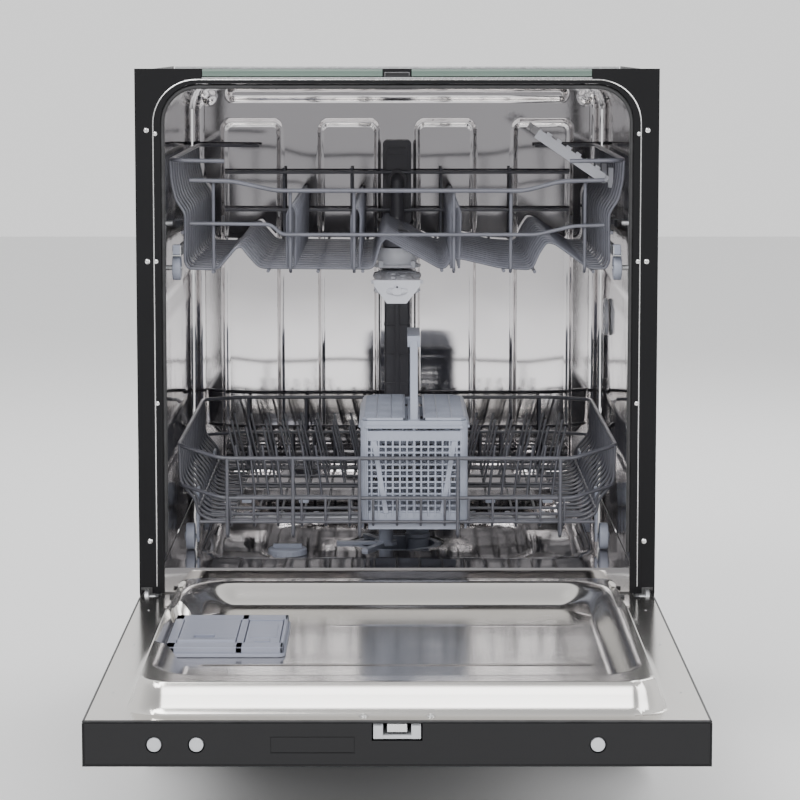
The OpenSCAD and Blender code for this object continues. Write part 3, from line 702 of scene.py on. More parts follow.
def cutlery_basket():
    """Ribbed two-compartment basket with window grids, chevron ribs and a tall handle."""
    b = Build(BASKET_X)
    half = 63
    y0, y1, z0, z1 = BASKET_Y0, BASKET_Y1, BASKET_Z0, BASKET_Z1
    # floor plate with drain slots between ribs
    for y in span(y0 + 3, y1 - 7, 21):
        b.box((-half + 3, y, z0), (half - 3, y + 4, z0 + 2.4))
    for x in (-60.5, -42, -24, -6, 2, 20, 38, 57):
        b.box((x, y0 + 3, z0), (x + 3.5, y1 - 3, z0 + 2.8))
    # rings of the four walls, which lean in by 1.5 mm at the foot
    for z, height, grow, depth in ([(z1 - 7, 7, 0, 3.2), (z1 - 24, 12, -0.3, 2.2), (z0 - 11, 20, 0.5, 2.6),
                                    (z1 - 9, 3, 2.4, 5)]
                                   + [(z, 2.4, 0, 1.8) for z in span(z0 + 2, z1 - 32, 12)]):
        inset = 1.5 * (z1 - z) / (z1 - z0) - grow
        o = half - inset
        for sx in SIDES:
            b.box((sx * o, y0 + 8, z), (sx * (o - depth), y1 - 8, z + height))
        for y, s in ((y0, 1), (y1, -1)):
            b.box((8 - o, y + s * inset, z), (o - 8, y + s * (inset + depth), z + height))
    # rounded corner posts
    turns = [math.radians(15 * k) for k in range(7)]
    for sx in SIDES:
        for y, s in ((y0, 1), (y1, -1)):
            x_mid, y_mid = sx * (half - 9), y + s * 9
            outer, inner = ([(x_mid + sx * r * math.sin(t), y_mid - s * r * math.cos(t)) for t in turns]
                            for r in (9, 6.4))
            for k in range(6):
                b.prism([outer[k], outer[k + 1], inner[k + 1], inner[k]], P, z0, z1)
    # upright bars, and a raised chevron rib on each end wall
    for y in (y0 + 0.4, y1 - 2.2):
        for x in span(-50, 50, 12):
            b.box((x - 1.1, y, z0 + 4), (x + 1.1, y + 1.8, z1 - 18))
        for sx in SIDES:
            rib = [(sx * 50, z1 - 24), (sx * 44, z1 - 24), (sx * 30, z0 + 8), (sx * 36, z0 + 8)]
            b.prism(rib, front_view, y - 0.3, y + 2.2)
    for sx in SIDES:
        for y in span(y0 + 12, y1 - 14, 20):
            b.box((sx * (half - 2.6), y, z0 + 4), (sx * (half - 0.8), y + 2.2, z1 - 18))
    # centre web and cross partitions
    b.box((-2, y0 + 3, z0), (2, y1 - 3, z1 - 2))
    b.box((-7, y0 + 14, z1 - 8), (7, y1 - 14, z1 - 0.5))
    for y in (y0 + 74, y0 + 149):
        for z in span(z0 + 2, z1 - 20, 7):
            b.box((-half + 3, y, z), (half - 3, y + 1.8, z + 2))
        for x in span(-52, 52, 8):
            b.box((x - 1, y, z0 + 2), (x + 1, y + 1.8, z1 - 18))
    # handle: tall tapering blade with a hand hole
    for s in SIDES:
        leg = ((98, z1 - 4), (80, z1 - 4), (36, z0 + 196), (50, z0 + 206))
        b.prism([(y0 + 112 + s * h, z) for h, z in leg], side_view, -4.5, 4.5)
    b.box((-7.6, y0 + 62, z0 + 198), (7.6, y0 + 162, z0 + 211.5))
    b.box((-2, y0 + 30, z1 - 6), (2, y0 + 194, z1 + 8))
    b.done("basket_body", "grey", "cutlery_basket", "grey_plastic", ("cutlery_basket",), bevel=0.5,
           segments=1)


def basket_lid(side):
    """Slotted grating with a chamfered outer rear corner."""
    b = Build(BASKET_X)
    low, high = BASKET_Z1 + 0.3, BASKET_Z1 + 3.3
    x0, x1 = 10.5, 61
    y0, y1 = BASKET_Y0 + 1, BASKET_Y1 - 1
    edge = 3

    def bar(ax, ay, bx, by):
        b.box((side * ax, ay, low), (side * bx, by, high))

    bar(x0, y0, x0 + edge, y1)
    bar(x1 - edge, y0 + 8, x1, y1 - 16)
    bar(x0, y0, x1 - 6, y0 + edge)
    bar(x0, y1 - edge, x1 - 14, y1)
    for (ax, ay), (bx, by) in (((x1 - 6, y0), (x1, y0 + 8)), ((x1, y1 - 16), (x1 - 14, y1))):
        dx, dy = bx - ax, by - ay
        n = math.hypot(dx, dy)
        ox, oy = -dy / n * edge, dx / n * edge
        quad = ((ax, ay), (bx, by), (bx + ox, by + oy), (ax + ox, ay + oy))
        b.prism([(side * x, y) for x, y in quad], P, low, high)
    # thinner slats and lengthwise ribs
    low += 1.7
    for k, y in enumerate(span(y0 + 7, y1 - 10, 18)):
        bar(x0 + 2, y, x1 - (14 if k == 18 else 2), y + 2.0)
    for x in (26, 43):
        bar(x, y0 + 2, x + 1.8, y1 - 2)
    name = "basket_lid_left" if side < 0 else "basket_lid_right"
    b.done(name + "_grating", "grey", name, "grey_plastic", (name,), bevel=0.4, segments=1)


# ---------------------------------------------------------------- tub

def tub_back():
    """Back wall with four pressed loops and a ribbed band near the top."""
    b = Build()

    def relief(x, z):
        h = 0.0
        for cx in (-193, -64, 64, 193):
            d = box_distance(x - cx, z - 508, 81, 477, 14)
            h = max(h, 0.65 * (1 - smoothstep(0.8, 3.6, abs(d + 3))))
        band = box_distance(x, z - 781, 450, 15, 7.4)
        h = max(h, 1 - smoothstep(-4, 3, band))
        for cx in (-252, 252):
            h = max(h, 1 - smoothstep(5, 11, math.hypot(x - cx, z - 778)))
        return h

    def point(z, x):
        edge = smoothstep(-16, 0, box_distance(x, z - 476.5, 544, 653, 43))
        return P(x, TUB_BACK - 2 * relief(x, z) - 6 * edge ** 2, z)

    b.surface(span(243, 803, 210), span(-272, 272, 272), point)
    b.done("tub_back_panel", "back", "cabinet", "stainless", ("tub_back_wall",))


def tub_outline_points(half, top, low, r, steps=10):
    """Open rounded arch, from the lower left round to the lower right."""
    pts = [(-half, low)]
    for sx, start in ((-1, 180), (1, 90)):
        for k in range(steps + 1):
            t = math.radians(start - 90 * k / steps)
            pts.append((sx * (half - r) + r * math.cos(t), top - r + r * math.sin(t)))
    pts.append((half, low))
    return pts


def tub_shell():
    """Wrapper sheet: arch with pressed side beads, and a slightly waved ceiling."""
    b = Build()
    pts = []
    arch = tub_outline_points(273, 804, 244.3, 44, 12)
    for (ax, az), (bx, bz) in zip(arch, arch[1:]):
        n = max(1, int(math.hypot(bx - ax, bz - az) / 7))
        pts += [(ax + (bx - ax) * k / n, az + (bz - az) * k / n) for k in range(n)]
    pts.append(arch[-1])

    def point(y, at):
        x, z = at
        deep = y - 275
        if abs(x) > 270:
            loop = abs(box_distance(deep, z - 454, 440, 130, 16) + 2)
            beads = [1 - smoothstep(-2, 3.5, box_distance(deep, z - zc, 470, 9, 4.5)) for zc in (352, 556)]
            x -= math.copysign(1.6 * max(*beads, 0.7 * (1 - smoothstep(1.5, 4, loop))), x)
        elif z > 802:
            z -= 1.1 * (math.sin(x * 0.03) * math.sin(y * 0.021 + 1)) ** 2
            for xc in (-150, 0, 150):
                z -= 1.5 * (1 - smoothstep(1.5, 5, abs(box_distance(x - xc, deep, 86, 400, 20) + 3)))
        return P(x, y, z)

    b.surface(span(4.5, 545.5, 90), pts, point)
    b.done("tub_wrapper_sheet", "mirror", "cabinet", "stainless", ("tub_wrapper",))
    lip = Build()
    edge = [P(x, 0.3, z) for x, z in tub_outline_points(278.4, 807.6, 222, 50, 14)]
    lip.tube(edge, 0.8 * MM, 8)
    lip.done("tub_front_lip", "screw", "cabinet", "stainless")


def gasket():
    """Bulb seal with a folded lip, round the mouth of the tub."""
    b = Build()
    half = 268.6
    arch = tub_outline_points(half, 799.6, 262, 41, 12)
    for radius, inset, y in ((2.4, 0.8, 3.4), (3.0, 0.0, 8.4), (1.6, -1.6, 14.2)):
        b.tube([P(x * (half - inset) / half if abs(x) > 200 else x, y, z - inset * 0.5 if z > 700 else z)
                for x, z in arch], radius * MM, 10)
    b.done("door_seal_bulb", "rubber", "cabinet", "rubber_seal", ("door_gasket",))


def tub_floor():
    """Pressed floor: wheel ledges at the sides and a bowl falling to the filter."""
    b = Build()
    half, front, rear, cy, hole = 272.5, 4.6, TUB_BACK, HUB_Y, 60

    def height(x, y):
        deep = y - 293
        h = 243 - 14 * (1 - smoothstep(-16, 0, box_distance(x, deep, 456, 440, 60)))
        h -= 7 * (1 - smoothstep(-14, 0, box_distance(x, deep, 330, 340, 90)))
        h += 0.8 * (1 - smoothstep(1.5, 4, abs(box_distance(x, deep, 404, 396, 74) + 2)))
        return h

    def point(t, a):
        """Rays from the edge of the well, at t = 0, to the walls, at t = 1."""
        dx, dy = math.cos(a), math.sin(a)
        far = min(half / max(abs(dx), 1e-6), ((rear - cy) if dy > 0 else (cy - front)) / max(abs(dy), 1e-6))
        r = hole + (far - hole) * t
        x, y = r * dx, cy + r * dy
        return P(x, y, height(x, y))

    b.surface(span(0, 1, 26), span(0, 2 * math.pi, 160), point)
    # turned-down front edge and the throat of the filter well
    b.surface(((front, 243), (3.9, 240), (4.4, 215)), span(-half, half, 40), lambda yz, x: P(x, *yz))
    b.surface((222, 219, 215), span(0, 2 * math.pi, 60),
              lambda z, a: P(hole * math.cos(a), cy + hole * math.sin(a), z))
    b.done("tub_floor_pan", "mirror", "cabinet", "stainless", ("tub_floor",))


def filters():
    """Filter tray with drilled rings, fine filter cup with a grip, salt cap."""
    b = Build()
    c = P(0, HUB_Y, 0)
    b.lathe(c, UP, [(164, 47), (164, 50), (217, 50), (217, 56.4), (220, 56.4), (221, 55.6), (221, 47.4),
                    (219.6, 47), (164, 47)], 56)
    b.studs(0, HUB_Y, 51.7, 40, [(220.9, 1.5), (221.4, 1.3)])
    for r in (44, 37, 30, 23, 16):
        b.lathe(c, UP, [(202, r), (203.4, r), (203.4, r - 2.4), (202, r - 2.4), (202, r)], 48)
    b.done("filter_tray", "grey", "cabinet", "grey_plastic", ("coarse_filter",))
    f = Build()
    x, y = 26, 306
    f.lathe(P(x, y, 0), UP, [(168, 11.2), (168, 14), (225, 14), (226, 15.8), (230.6, 15.8), (231, 15.2),
                             (231, 11.4), (168, 11.2)], 40)
    f.box((x - 14.5, y - 2, 229), (x + 14.5, y + 2, 237))
    f.box((x - 13.4, y - 3, 234.5), (x + 13.4, y + 3, 237))
    f.done("fine_filter_cup", "grey", "fine_filter", "grey_plastic", ("fine_filter",), bevel=0.5)
    s = Build()
    x, y = -135, 205
    s.lathe(P(x, y, 0), UP, [(210, 19.2), (222.4, 19.3), (222.4, 23.6), (228.6, 24), (230.2, 22.6),
                             (230.4, 0.5)], 48)
    s.studs(x, y, 23.2, 24, [(223, 1.0), (229, 0.8)])
    s.box((x - 17.6, y - 2.6, 229.8), (x + 17.6, y + 2.6, 235))
    s.done("salt_container_cap", "grey", "salt_cap", "grey_plastic", ("salt_cap",), bevel=0.6)


def spray_arm(body, name, slot, cx, cy, low, length, width, angle, nozzles, drop=0):
    """Hollow blade: swelling at the hub, pinched waist, broad rounded tips.

    The hub stands at cx, cy with its blade's underside at low; drop is how far the end plates hang.
    """
    b = Build()
    ca, sa = math.cos(math.radians(angle)), math.sin(math.radians(angle))

    def place(u, v, z):
        return P(cx + u * ca - v * sa, cy + u * sa + v * ca, z)

    def section(u):
        """Half width and height of the blade at a distance from the hub."""
        t = u / length
        half = width / 2 * (0.72 + 0.28 * smoothstep(0.25, 0.95, t))
        if t < 0.16:
            half = max(half, width * 0.55 * math.sqrt(max(0.0, 1 - (t / 0.2) ** 2)))
        tip = (u - (length - width * 0.35)) / (width * 0.35)
        if tip > 0:
            half *= math.sqrt(max(0.02, 1 - tip * tip * 0.96))
        return half, thick * (1 - 0.25 * smoothstep(0.2, 1, t))

    def skin(side, u, a):
        """Point of the blade's squared oval section."""
        half, crown = section(u)
        c, s = math.cos(a), math.sin(a)
        v = half * math.copysign(abs(c) ** 0.55, c)
        return place(side * u, side * v, low + crown * (0.5 + 0.5 * math.copysign(abs(s) ** 0.6, s)))

    thick = 10.5
    top = low + thick
    turns = span(0, 2 * math.pi, 16)
    for side in (1, -1):
        b.surface(span(8, length, 34), turns, lambda u, a: skin(side, u, a))
        b.add([skin(side, length, a) for a in turns[:-1]], [tuple(range(16))])
        for k in range(nozzles):
            u = 44 + (length - 60) * k / (nozzles - 1)
            v = (7 if k % 2 else -5) * side
            at = place(side * u, v, 0)
            b.lathe(at, UP, [(top - thick * 0.2, 4.4), (top + 0.5, 3.6), (top + 0.9, 2.6), (top - 0.6, 1.5)],
                    16)
        if drop:
            # hanging end plate with a ledge and two nozzles
            face = [(-28, low + 17), (28, low + 17), (27, low + 10), (12, low - drop), (-11, low - drop),
                    (-27, low + 10)]
            b.prism(face, lambda v, z, u: place(side * u, v, z), length - 16, length - 3)
            b.box((-31, length - 18, low + 12), (31, length - 15, low + 16),
                  lambda v, u, z: place(side * u, v, z))
            outward = place(side, 0, 0) - place(0, 0, 0)
            for z in (low + 1, low + 9):
                b.lathe(place(side * (length - 3), 0, z), outward,
                        [(0, 2.6), (0.7, 2.4), (0.7, 1.2), (-0.3, 1.1)], 14)
    b.lathe(P(cx, cy, 0), UP, [(low - 1.6, 9.2), (low - 1.6, 20), (low, 25), (low + 9, 24), (low + 12.5, 19),
                               (low + 13.6, 12), (low + 13.6, 9.2)], 44)
    b.studs(cx, cy, 22.5, 12, [(low + 1, 2), (low + 11, 1.6)])
    b.done(name, "pale", body, slot, (body,))


def upper_feed():
    """Docking pipe along the upper rack, with ribs and the arm's pivot below it."""
    b = Build()
    floor_z, dock_z, turn_y = 606, 668, RACK_REAR - 14
    path = [P(0, HUB_Y, floor_z), P(0, turn_y, floor_z), P(0, turn_y, dock_z), P(0, 523.5, dock_z)]
    b.tube(rounded_path(path, 14 * MM), 9.4 * MM, 20)
    c = P(0, HUB_Y, 0)
    b.lathe(c, UP, [(540.2, 5), (540.2, 13.6), (542, 15), (549.6, 15), (550, 9), (571.6, 9), (572, 22),
                    (583, 22), (584, 14.5), (595, 15), (597, 18), (612, 17.6), (616, 14), (616.2, 1)], 44)
    for y in span(330, 480, 5):
        b.lathe(P(0, y, floor_z), BACK, [(0, 9.4), (0, 11), (2.4, 11), (2.4, 9.4)], 28)
    b.lathe(P(0, 516, dock_z), BACK, [(0, 9.4), (0, 12.5), (6, 12.5), (7.4, 9.8)], 28)
    b.studs(0, HUB_Y, 19.6, 8, [(573, 1.6), (582, 1.6)])
    b.done("upper_feed_pipe", "duct", "upper_rack", "dark_grey_plastic", ("upper_feed_tube",))
    dome = Build()
    dome.lathe(c, UP, [(571, 23), (571, 29.6), (572.4, 30), (574.6, 29), (575, 24.6), (584, 24), (590, 22.4),
                       (595, 19.4), (595, 18.2), (571, 22.4), (571, 23)], 44)
    for k in range(4):
        a = math.radians(45 + 90 * k)
        x, y = 28 * math.cos(a), HUB_Y + 28 * math.sin(a)
        dome.box((x - 3, y - 3, 571), (x + 3, y + 3, 579))
    dome.done("arm_dome", "pale", "upper_rack", "pale_plastic", bevel=0.5)


def feed_duct():
    """Ribbed riser duct on the back wall and its docking head."""
    b = Build()
    b.prism(rounded_outline(0, 534.5, 34, 17.6, 4), P, 246, 612)
    for z in span(276, 590, 8):
        b.prism(rounded_outline(0, 534.2, 35.4, 18.6, 4.5), P, z, z + 2.6)
    b.box((-3, 524.4, 250), (3, 526.4, 606))
    b.prism(rounded_outline(0, 664.5, 38, 111, 6), front_view, 526.4, 542.6)
    b.prism(rounded_outline(0, 664.5, 30, 90, 5), front_view, 525.0, 527.0)
    b.lathe(P(0, 524.2, 668), BACK, [(0, 10.2), (0, 14), (1.2, 14.6), (6, 14.8), (6, 10.2)], 36)
    for z in (700, 708, 622, 630):
        b.box((-12, 524.4, z), (12, 527, z + 3))
    b.done("riser_duct", "duct", "cabinet", "dark_grey_plastic", ("feed_duct",), bevel=0.8)


def side_vent():
    """Round vent grille on the right wall, with rings and slots."""
    b = Build()
    ax = (-1, 0, 0)
    at = P(271.6, 400, 497)
    b.lathe(at, ax, [(0, 24), (3.2, 24), (4.4, 22.6), (4.4, 19.6), (2.6, 18.8), (2.6, 2)], 48)
    for k in range(-2, 3):
        b.box((267.6, 386 + abs(k) * 2, 496 + k * 7), (269.8, 414 - abs(k) * 2, 498.6 + k * 7))
    b.lathe(at, ax, [(2, 6), (4.6, 5.4), (4.6, 1)], 24)
    b.done("wall_vent", "pale", "cabinet", "grey_plastic", ("air_break",), bevel=0.4)


# ---------------------------------------------------------------- door

DISPENSER_X, DISPENSER_Z = -179, 482


def inner_door():
    """Deep-drawn inner panel: flange, raised border with wheel tracks, sunk centre."""
    b = Build()

    def height(x, z):
        outer = box_distance(x, z - 522, 524, 545, 40)
        h = -1 + 30 * (1 - smoothstep(-14, -0.5, outer))
        sunk = 1 - smoothstep(-27, 0, box_distance(x, z - 516, 480, 474, 52))
        h -= 25 * sunk
        # coned corners of the sunk centre
        side = abs(x)
        h += 17 * sunk * (1 - smoothstep(20, 66, math.hypot(side - 246, (z - 286) * 0.8)))
        h += 9 * sunk * (1 - smoothstep(12, 52, math.hypot(side - 244, (z - 748) * 0.9)))
        # sunk pockets in the wheel tracks, and one for the dispenser
        h -= 7 * (1 - smoothstep(-4, 2, box_distance(side - 248, z - 352, 17, 150, 5)))
        h = min(h, 4 + 26 * smoothstep(0, 6, box_distance(x + 178, z - 500, 127, 206, 10)))
        # shallow beads over the centre
        for zc, xc, w in ((404, 60, 260), (600, 0, 400)):
            h += 1.0 * (1 - smoothstep(-1, 2.5, box_distance(x - xc, z - zc, w, 4, 2)))
        return h

    xs, zs = span(-DOOR_HALF, DOOR_HALF, 236), span(172, 812, 250)
    b.surface(zs, xs, lambda z, x: D(x, height(x, z), z))

    def solid(face):
        """False over the hinge slots and the dispenser's cup; the first corner gives the cell."""
        i, k = divmod(face[0], len(xs))
        x, z = (xs[k] + xs[k + 1]) / 2, (zs[i] + zs[i + 1]) / 2
        in_slot = abs(x) > 272.5 and z < 223.5
        in_cup = abs(x - DISPENSER_X) < 52 and abs(z - DISPENSER_Z) < 72
        return not in_slot and not in_cup

    b.faces = [f for f in b.faces if solid(f)]
    obj = b.done("door_inner_pressing", "door_steel", "door", "stainless", ("inner_door_panel",))
    obj.data.shade_smooth()

    edge = Build()
    for sx in SIDES:
        edge.tube([D(sx * (DOOR_HALF + 0.6), -2.0, z) for z in span(226, 814, 40)], 1.5 * MM, 8)
    edge.tube([D(x, -2.2, 813.4) for x in span(-DOOR_HALF, DOOR_HALF, 40)], 1.4 * MM, 8)
    edge.done("door_edge_bead", "rubber", "door", "rubber_seal")
    seal = Build()
    seal.prism([(-0.8, 224), (0.2, 224), (2.8, 227), (2.9, 230), (1.4, 233.8), (-0.8, 233.8)],
               door_side_view, -262, 262)
    seal.done("lower_lip_seal", "rubber", "door", "rubber_seal", ("door_seal",), bevel=0.3)


def dispenser():
    """Dispenser housing, flip lid with a finger hollow, and the rinse-aid lid with its snap."""
    cx, cz = DISPENSER_X, DISPENSER_Z
    b = Build()
    b.prism(rounded_outline(cx, cz, 126, 168, 9), door_front_view, 4.2, 8.5)

    def bars(build, y0, y1, spans):
        """Door-wise bars; each span is x0, z0, x1, z1 from the middle of the dispenser."""
        build.boxes((((cx + x0, y0, cz + z0), (cx + x1, y1, cz + z1)) for x0, z0, x1, z1 in spans), D)

    # frame round the two wells, then the walls and the floor of the cup
    bars(b, 8, 14.8, ((-61, -82, -51, 82), (57, -82, 61, 82), (-61, -82, 61, -59), (-61, 59, 61, 82),
                      (11, -82, 19, 82)))
    bars(b, -27, 4.4, ((-54, -74, 54, -60), (-54, 60, 54, 74), (-54, -60, -51.4, 60), (11.4, -60, 54, 60)))
    bars(b, -27, -20.2, ((-51.4, -60, 11.4, 60),))
    b.done("dispenser_housing", "dispenser", "door", "dispenser_plastic", ("dispenser_body",), bevel=1.1)
    lid = Build()
    x0, x1, z = -50.4, 10.4, 58.4
    bars(lid, 11, 15, ((x0, -z, x1, 20), (x0, 36, x1, z), (x0, 19, -35, 37), (-13, 19, x1, 37)))
    bars(lid, 9.2, 11.4, ((-36, 19, -12, 37),))
    bars(lid, 9.2, 11.6, ((x0 + 3, 3 - z, x1 - 3, z - 3),))
    z += cz
    lid.prism([(11, z - 14), (15, z - 14), (16.9, z - 11), (16.9, z - 4), (12, z)], door_side_view,
              cx + x0, cx + x1)
    lid.done("detergent_flap", "dispenser", "detergent_lid", "dispenser_plastic", ("detergent_lid",),
             bevel=0.9)
    rinse = Build()
    bars(rinse, 12, 14.6, ((20, -58.2, 56.2, 58.2),))
    bars(rinse, 12, 16, ((20, -58.2, 56.2, -50),))
    bars(rinse, 14, 15.2, ((24, -30, 52, 36),))
    bars(rinse, 14, 15.9, ((30, 44, 46, 57),))
    rinse.lathe(D(cx + 38, 6.2, cz + 20), UP, [(0, 11.4), (0.8, 12.1), (6, 12.1)], 40)
    rinse.done("rinse_aid_flap", "dispenser", "rinse_aid_lid", "dispenser_plastic", ("rinse_aid_lid",),
               bevel=0.8)


def screw_head(b, at, axis, r):
    """Pan head with a round recess, standing proud of its washer face."""
    b.lathe(at, axis, [(0, r * 1.25), (0.5, r * 1.25), (0.6, r), (1.2, r * 0.96), (1.9, r * 0.66),
                       (2.1, r * 0.42), (1.3, r * 0.36), (1.2, 0.2)], 28)


def door_details():
    """Screws of the inner panel, latch housing and its tongue."""
    b = Build()
    for sx in SIDES:
        screw_head(b, D(sx * 32, -1, 796), UP, 4.0)
        for z in (700, 480, 300):
            screw_head(b, D(sx * 280, -2.6, z), UP, 1.6)
    b.done("door_panel_screws", "screw", "door", "galvanised")
    latch = Build()
    latch.box((-22.6, -18.6, 773), (22.6, -15, 815), D)
    for sx in SIDES:
        for y in (-6, -18.6):
            latch.box((sx * 22.6, y, 773), (sx * 13.4, -3.8, 815.4), D)
    latch.done("latch_housing", "button", "door", "button_grey", ("latch_body",), bevel=0.7)
    hook = Build()
    hook.box((-9.6, -12.8, 786.4), (9.6, -8.2, 811.6), D)
    hook.prism([(-12.8, 808.4), (-4.2, 808.4), (-3.2, 810), (-5.4, 811.8), (-12.8, 811.8)],
               door_side_view, -9.6, 9.6)
    hook.done("latch_tongue", "screw", "latch_hook", "button_grey", ("latch_hook",), bevel=0.5)


def buttons_and_display():
    """Push buttons with a rim, and a smoked display window in the fascia."""
    for name, x in (("power_button", -230), ("program_button", -190), ("start_button", 190)):
        b = Build()
        b.lathe(D(x, -24, 816), BACK, [(-0.8, 1), (-0.8, 5.2), (-0.3, 6.4), (0.6, 6.9), (6, 6.9)], 36)
        b.done(name.replace("button", "cap"), "button", name, "button_grey", (name,))
    b = Build()
    b.box((-119.4, -31.4, 815.2), (-40.6, -16.6, 815.9), D)
    b.done("display_window", "fascia", "door", "fascia", bevel=0.4)


def frame_details():
    """Screws, rivets, latch strike and the glossy strips of the top bar."""
    b = Build()
    for sx in SIDES:
        for z in (275, 600, 750):
            screw_head(b, P(sx * 286, 1.3, z), FORWARD, 3.1)
    b.done("frame_screw_heads", "screw", "cabinet", "galvanised", ("frame_screws",))
    r = Build()
    for sx in SIDES:
        for z in (436, 600, 746):
            r.lathe(P(sx * 276, 0.1, z), FORWARD, [(0, 2.6), (0.4, 2.4), (0.7, 1.6), (0.8, 0.2)], 20)
    r.done("frame_rivets", "screw", "cabinet", "galvanised")
    s = Build()
    for sx in SIDES:
        s.prism([(0.6, 811), (-0.1, 811.4), (-0.4, 812.6), (-0.4, 818), (-0.1, 819.4), (0.6, 819.7)],
                side_view, sx * 16.6, sx * 221.6)
    s.done("top_bar_strips", "trim", "cabinet", "trim", ("trim_strips",), bevel=0.25)
    w = Build()
    w.box((-222, -0.5, 808.6), (222, -0.1, 810.2))
    w.done("top_bar_light_line", "screw", "cabinet", "stainless")
    k = Build()
    for y0, y1, z0, z1 in ((0.2, 3.6, 809.6, 811), (0.2, 3.6, 814.2, 815.6), (2.4, 3.8, 809.6, 815.6)):
        k.box((-13.6, y0, z0), (13.6, y1, z1))
    k.done("latch_strike", "black_plastic", "cabinet", "black_plastic", bevel=0.25)


def coil(b, cx, cy, low, high, radius, wire, turns):
    """Upright coil spring with even pitch."""
    a_end = 2 * math.pi * turns
    b.tube([P(cx + radius * math.cos(a), cy + radius * math.sin(a), low + (high - low) * a / a_end)
            for a in span(0, a_end, turns * 14)], wire * MM / 2, 6)


def exterior():
    """Insulation mats, braces, side pressings, springs and feet."""
    def side_relief(y, z):
        """Depth of the side panel's ribs and of the bead round them, from 0 to 1."""
        deep = y - 285
        ribs = [1 - smoothstep(-3, 2, box_distance(deep, z - zc, 400, 12, 5)) for zc in (200, 360, 520, 680)]
        bead = abs(box_distance(deep, z - 425, 500, 740, 26) + 3)
        return max(*ribs, 1 - smoothstep(1.5, 4.5, bead))

    for sx, side in ((-1, "left"), (1, "right")):
        b = Build()
        b.surface(span(30.5, 817.5, 100), span(5, 565.5, 80),
                  lambda z, y: P(sx * (298.9 - 1.3 * side_relief(y, z)), y, z))
        b.done("side_skin_" + side, "paint", "cabinet", "black_paint", ("side_panel_" + side,), thick=0.5)
        s = Build()
        x, y = sx * 285, 80
        coil(s, x, y, 44, 120, 5.6, 1.7, 34)
        for low, high in ((36.4, 46), (119, 127.6)):
            s.tube([P(x, y, low), P(x, y, high)], 1.0 * MM, 8)
        s.done("door_spring_coil_" + side, "zinc", "cabinet", "galvanised",
               ("door_springs",) if sx > 0 else ())

    def top_mat(y, x):
        quilt = 2.2 * math.sin(x * 0.045) * math.sin(y * 0.06)
        return P(x, y, 809.2 + quilt + 1.5 * math.sin(x * 0.11 + y * 0.07))

    def rear_mat(z, x):
        quilt = 1.6 * math.sin(x * 0.04 + 1) * math.sin(z * 0.05)
        return P(x, 556.5 + quilt + 1.1 * math.sin(x * 0.1 + z * 0.06), z)

    felt = Build()
    felt.surface(span(24, 540, 60), span(-268, 268, 70), top_mat)
    felt.done("top_insulation", "felt", "cabinet", "dark_grey_plastic", thick=3)
    back = Build()
    back.surface(span(262, 748, 50), span(-262, 262, 60), rear_mat)
    back.done("rear_insulation", "felt", "cabinet", "dark_grey_plastic", thick=4)
    brace = Build()
    for x in (-120, 120):
        brace.box((x - 9, 562.6, 236), (x + 9, 563.8, 762))
        brace.box((x - 3, 561.4, 240), (x + 3, 562.8, 758))
    brace.done("rear_straps", "zinc", "cabinet", "galvanised", bevel=0.4)
    for node, x, y in (("foot_front_left", -254, 95), ("foot_front_right", 254, 95), ("foot_rear", 0, 506)):
        f = Build()
        f.lathe(P(x, y, 0), UP, [(0, 15.4), (0.4, 16.6), (5, 17), (8.4, 15.6), (9.2, 11)], 40)
        corners = [math.radians(60 * k) for k in range(6)]
        f.prism([(x + 10 * math.cos(a), y + 10 * math.sin(a)) for a in corners], P, 9, 15)
        thread = [(z + h, r) for z in span(16, 78.5, 25) for h, r in ((0, 5.8), (1.25, 4.9))]
        f.lathe(P(x, y, 0), UP, [(14, 5.2), *thread, (82, 4.6)], 24)
        f.done(node + "_pad", "black_plastic", node, "black_plastic", (node,))


def inlet_details():
    """Thread turns on the water inlet and barbs on the drain port."""
    b = Build()
    for y in span(562.5, 571.7, 4):
        b.lathe(P(216, y, 108), BACK, [(0, 12.7), (0.9, 13.1), (1.8, 12.7)], 40)
    b.done("inlet_thread_turns", "white", "cabinet", "pale_plastic")
    g = Build()
    for y in span(567.6, 573.2, 2):
        g.lathe(P(-150, y, 130), BACK, [(0, 10.1), (0.4, 10.5), (2.2, 9.9)], 36)
    g.done("drain_barbs", "black_plastic", "cabinet", "black_plastic")


tub_back()
tub_shell()
gasket()
tub_floor()
filters()
feed_duct()
side_vent()
lower_rack()
wheel_set("front_wheels", WHEEL_ROWS[0], "front_wheel_pair")
wheel_set("rear_wheels", WHEEL_ROWS[1], "rear_wheel_pair")
upper_rack()
upper_feed()
rail_rollers()
cup_shelf()
cutlery_basket()
basket_lid(-1)
basket_lid(1)
spray_arm("upper_spray_arm", "upper_arm_blade", "pale_plastic", 0, HUB_Y, 554.5, 211, 56, 90, 7, drop=10.5)
spray_arm("lower_spray_arm", "lower_arm_blade", "pale_plastic", -14, 278, 250.6, 213, 46, 0, 8)
inner_door()
dispenser()
door_details()
buttons_and_display()
frame_details()
exterior()
inlet_details()


# ---------------------------------------------------------------- studio

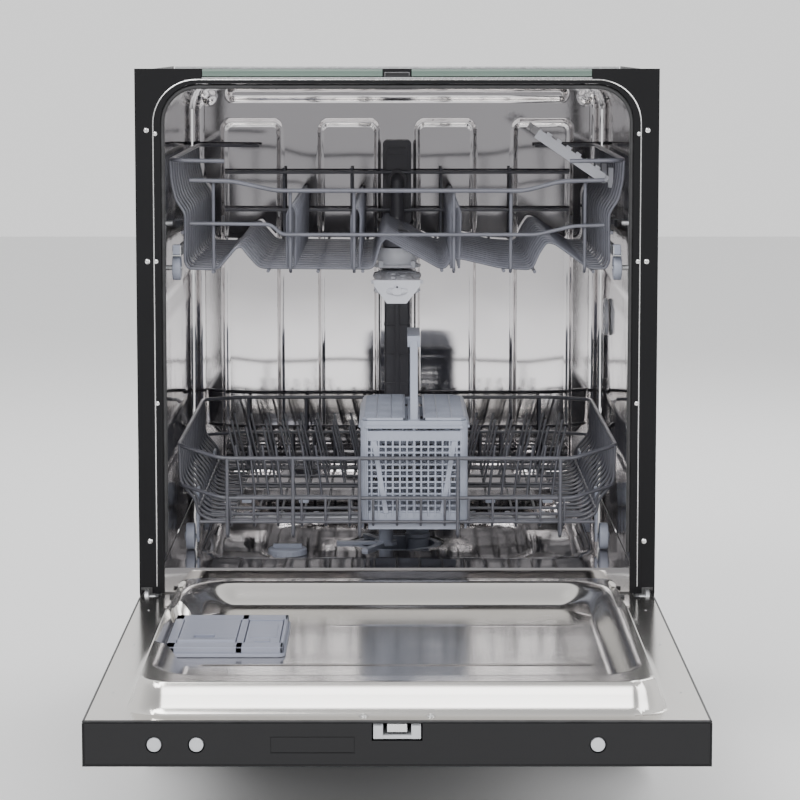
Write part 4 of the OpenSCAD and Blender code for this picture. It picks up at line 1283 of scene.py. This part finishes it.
camera_data = bpy.data.cameras.new("camera")
camera = link(bpy.data.objects.new("camera", camera_data))
camera_data.lens = 126.0
camera_data.sensor_width = 36
camera_data.shift_y = -0.06
camera_data.clip_end = 50
camera.location = P(0, -3200, 853)
camera.rotation_euler = (math.radians(90 - 6.37), 0, math.radians(-0.06))
bpy.context.scene.camera = camera

FLOOR_HALF = 9
floor_mat, floor_tree, floor_shader = node_material("studio_floor", (0.93, 0.93, 0.93), 0.6, specular=0.2)
bump(floor_tree, floor_shader, noise(floor_tree, 60), 0.05, 0.001)
floor_mesh = bpy.data.meshes.new("floor")
floor_mesh.from_pydata([(x * FLOOR_HALF, y * FLOOR_HALF, 0) for x, y in ((-1, -1), (1, -1), (1, 1), (-1, 1))],
                       [], [(0, 1, 2, 3)])
floor_mesh.materials.append(floor_mat)
floor = link(bpy.data.objects.new("floor", floor_mesh))
floor.location.z = -0.001


def area(name, location, target, size, power):
    """Soft rectangular light, turned to its target."""
    data = bpy.data.lights.new(name, "AREA")
    data.shape = "RECTANGLE"
    data.size, data.size_y = size
    data.energy = power
    obj = link(bpy.data.objects.new(name, data))
    obj.location = location
    obj.rotation_euler = (Vector(target) - obj.location).to_track_quat("-Z", "Y").to_euler()


area("key", (-1.6, -2.6, 3.2), (0, 0, 0.4), (2.2, 1.6), 95)
area("fill", (2.6, -2.4, 2.0), (0, 0, 0.4), (1.8, 1.8), 45)
area("front", (0, -4.2, 2.2), (0, 0, 0.5), (2.6, 1.2), 55)
area("back", (0.6, 2.8, 2.6), (0, 0, 0.6), (2.0, 1.4), 50)

world = bpy.data.worlds.new("studio")
bpy.context.scene.world = world
world.use_nodes = True
tree = world.node_tree
sky = tree.nodes["Background"]
sky.inputs["Strength"].default_value = 1.25
direction = tree.nodes.new("ShaderNodeTexCoord")
axes = tree.nodes.new("ShaderNodeSeparateXYZ")
tree.links.new(direction.outputs["Generated"], axes.inputs["Vector"])
half = tree.nodes.new("ShaderNodeMapRange")
half.inputs["From Min"].default_value = -1.0
tree.links.new(axes.outputs["Y"], half.inputs["Value"])
# darker room behind the camera, so that the steel has something to reflect
room = ramp(tree, half.outputs["Result"], (0.36, 0.36, 0.37), (0.96, 0.96, 0.96), 0.0, 0.62)
tree.links.new(room, sky.inputs["Color"])
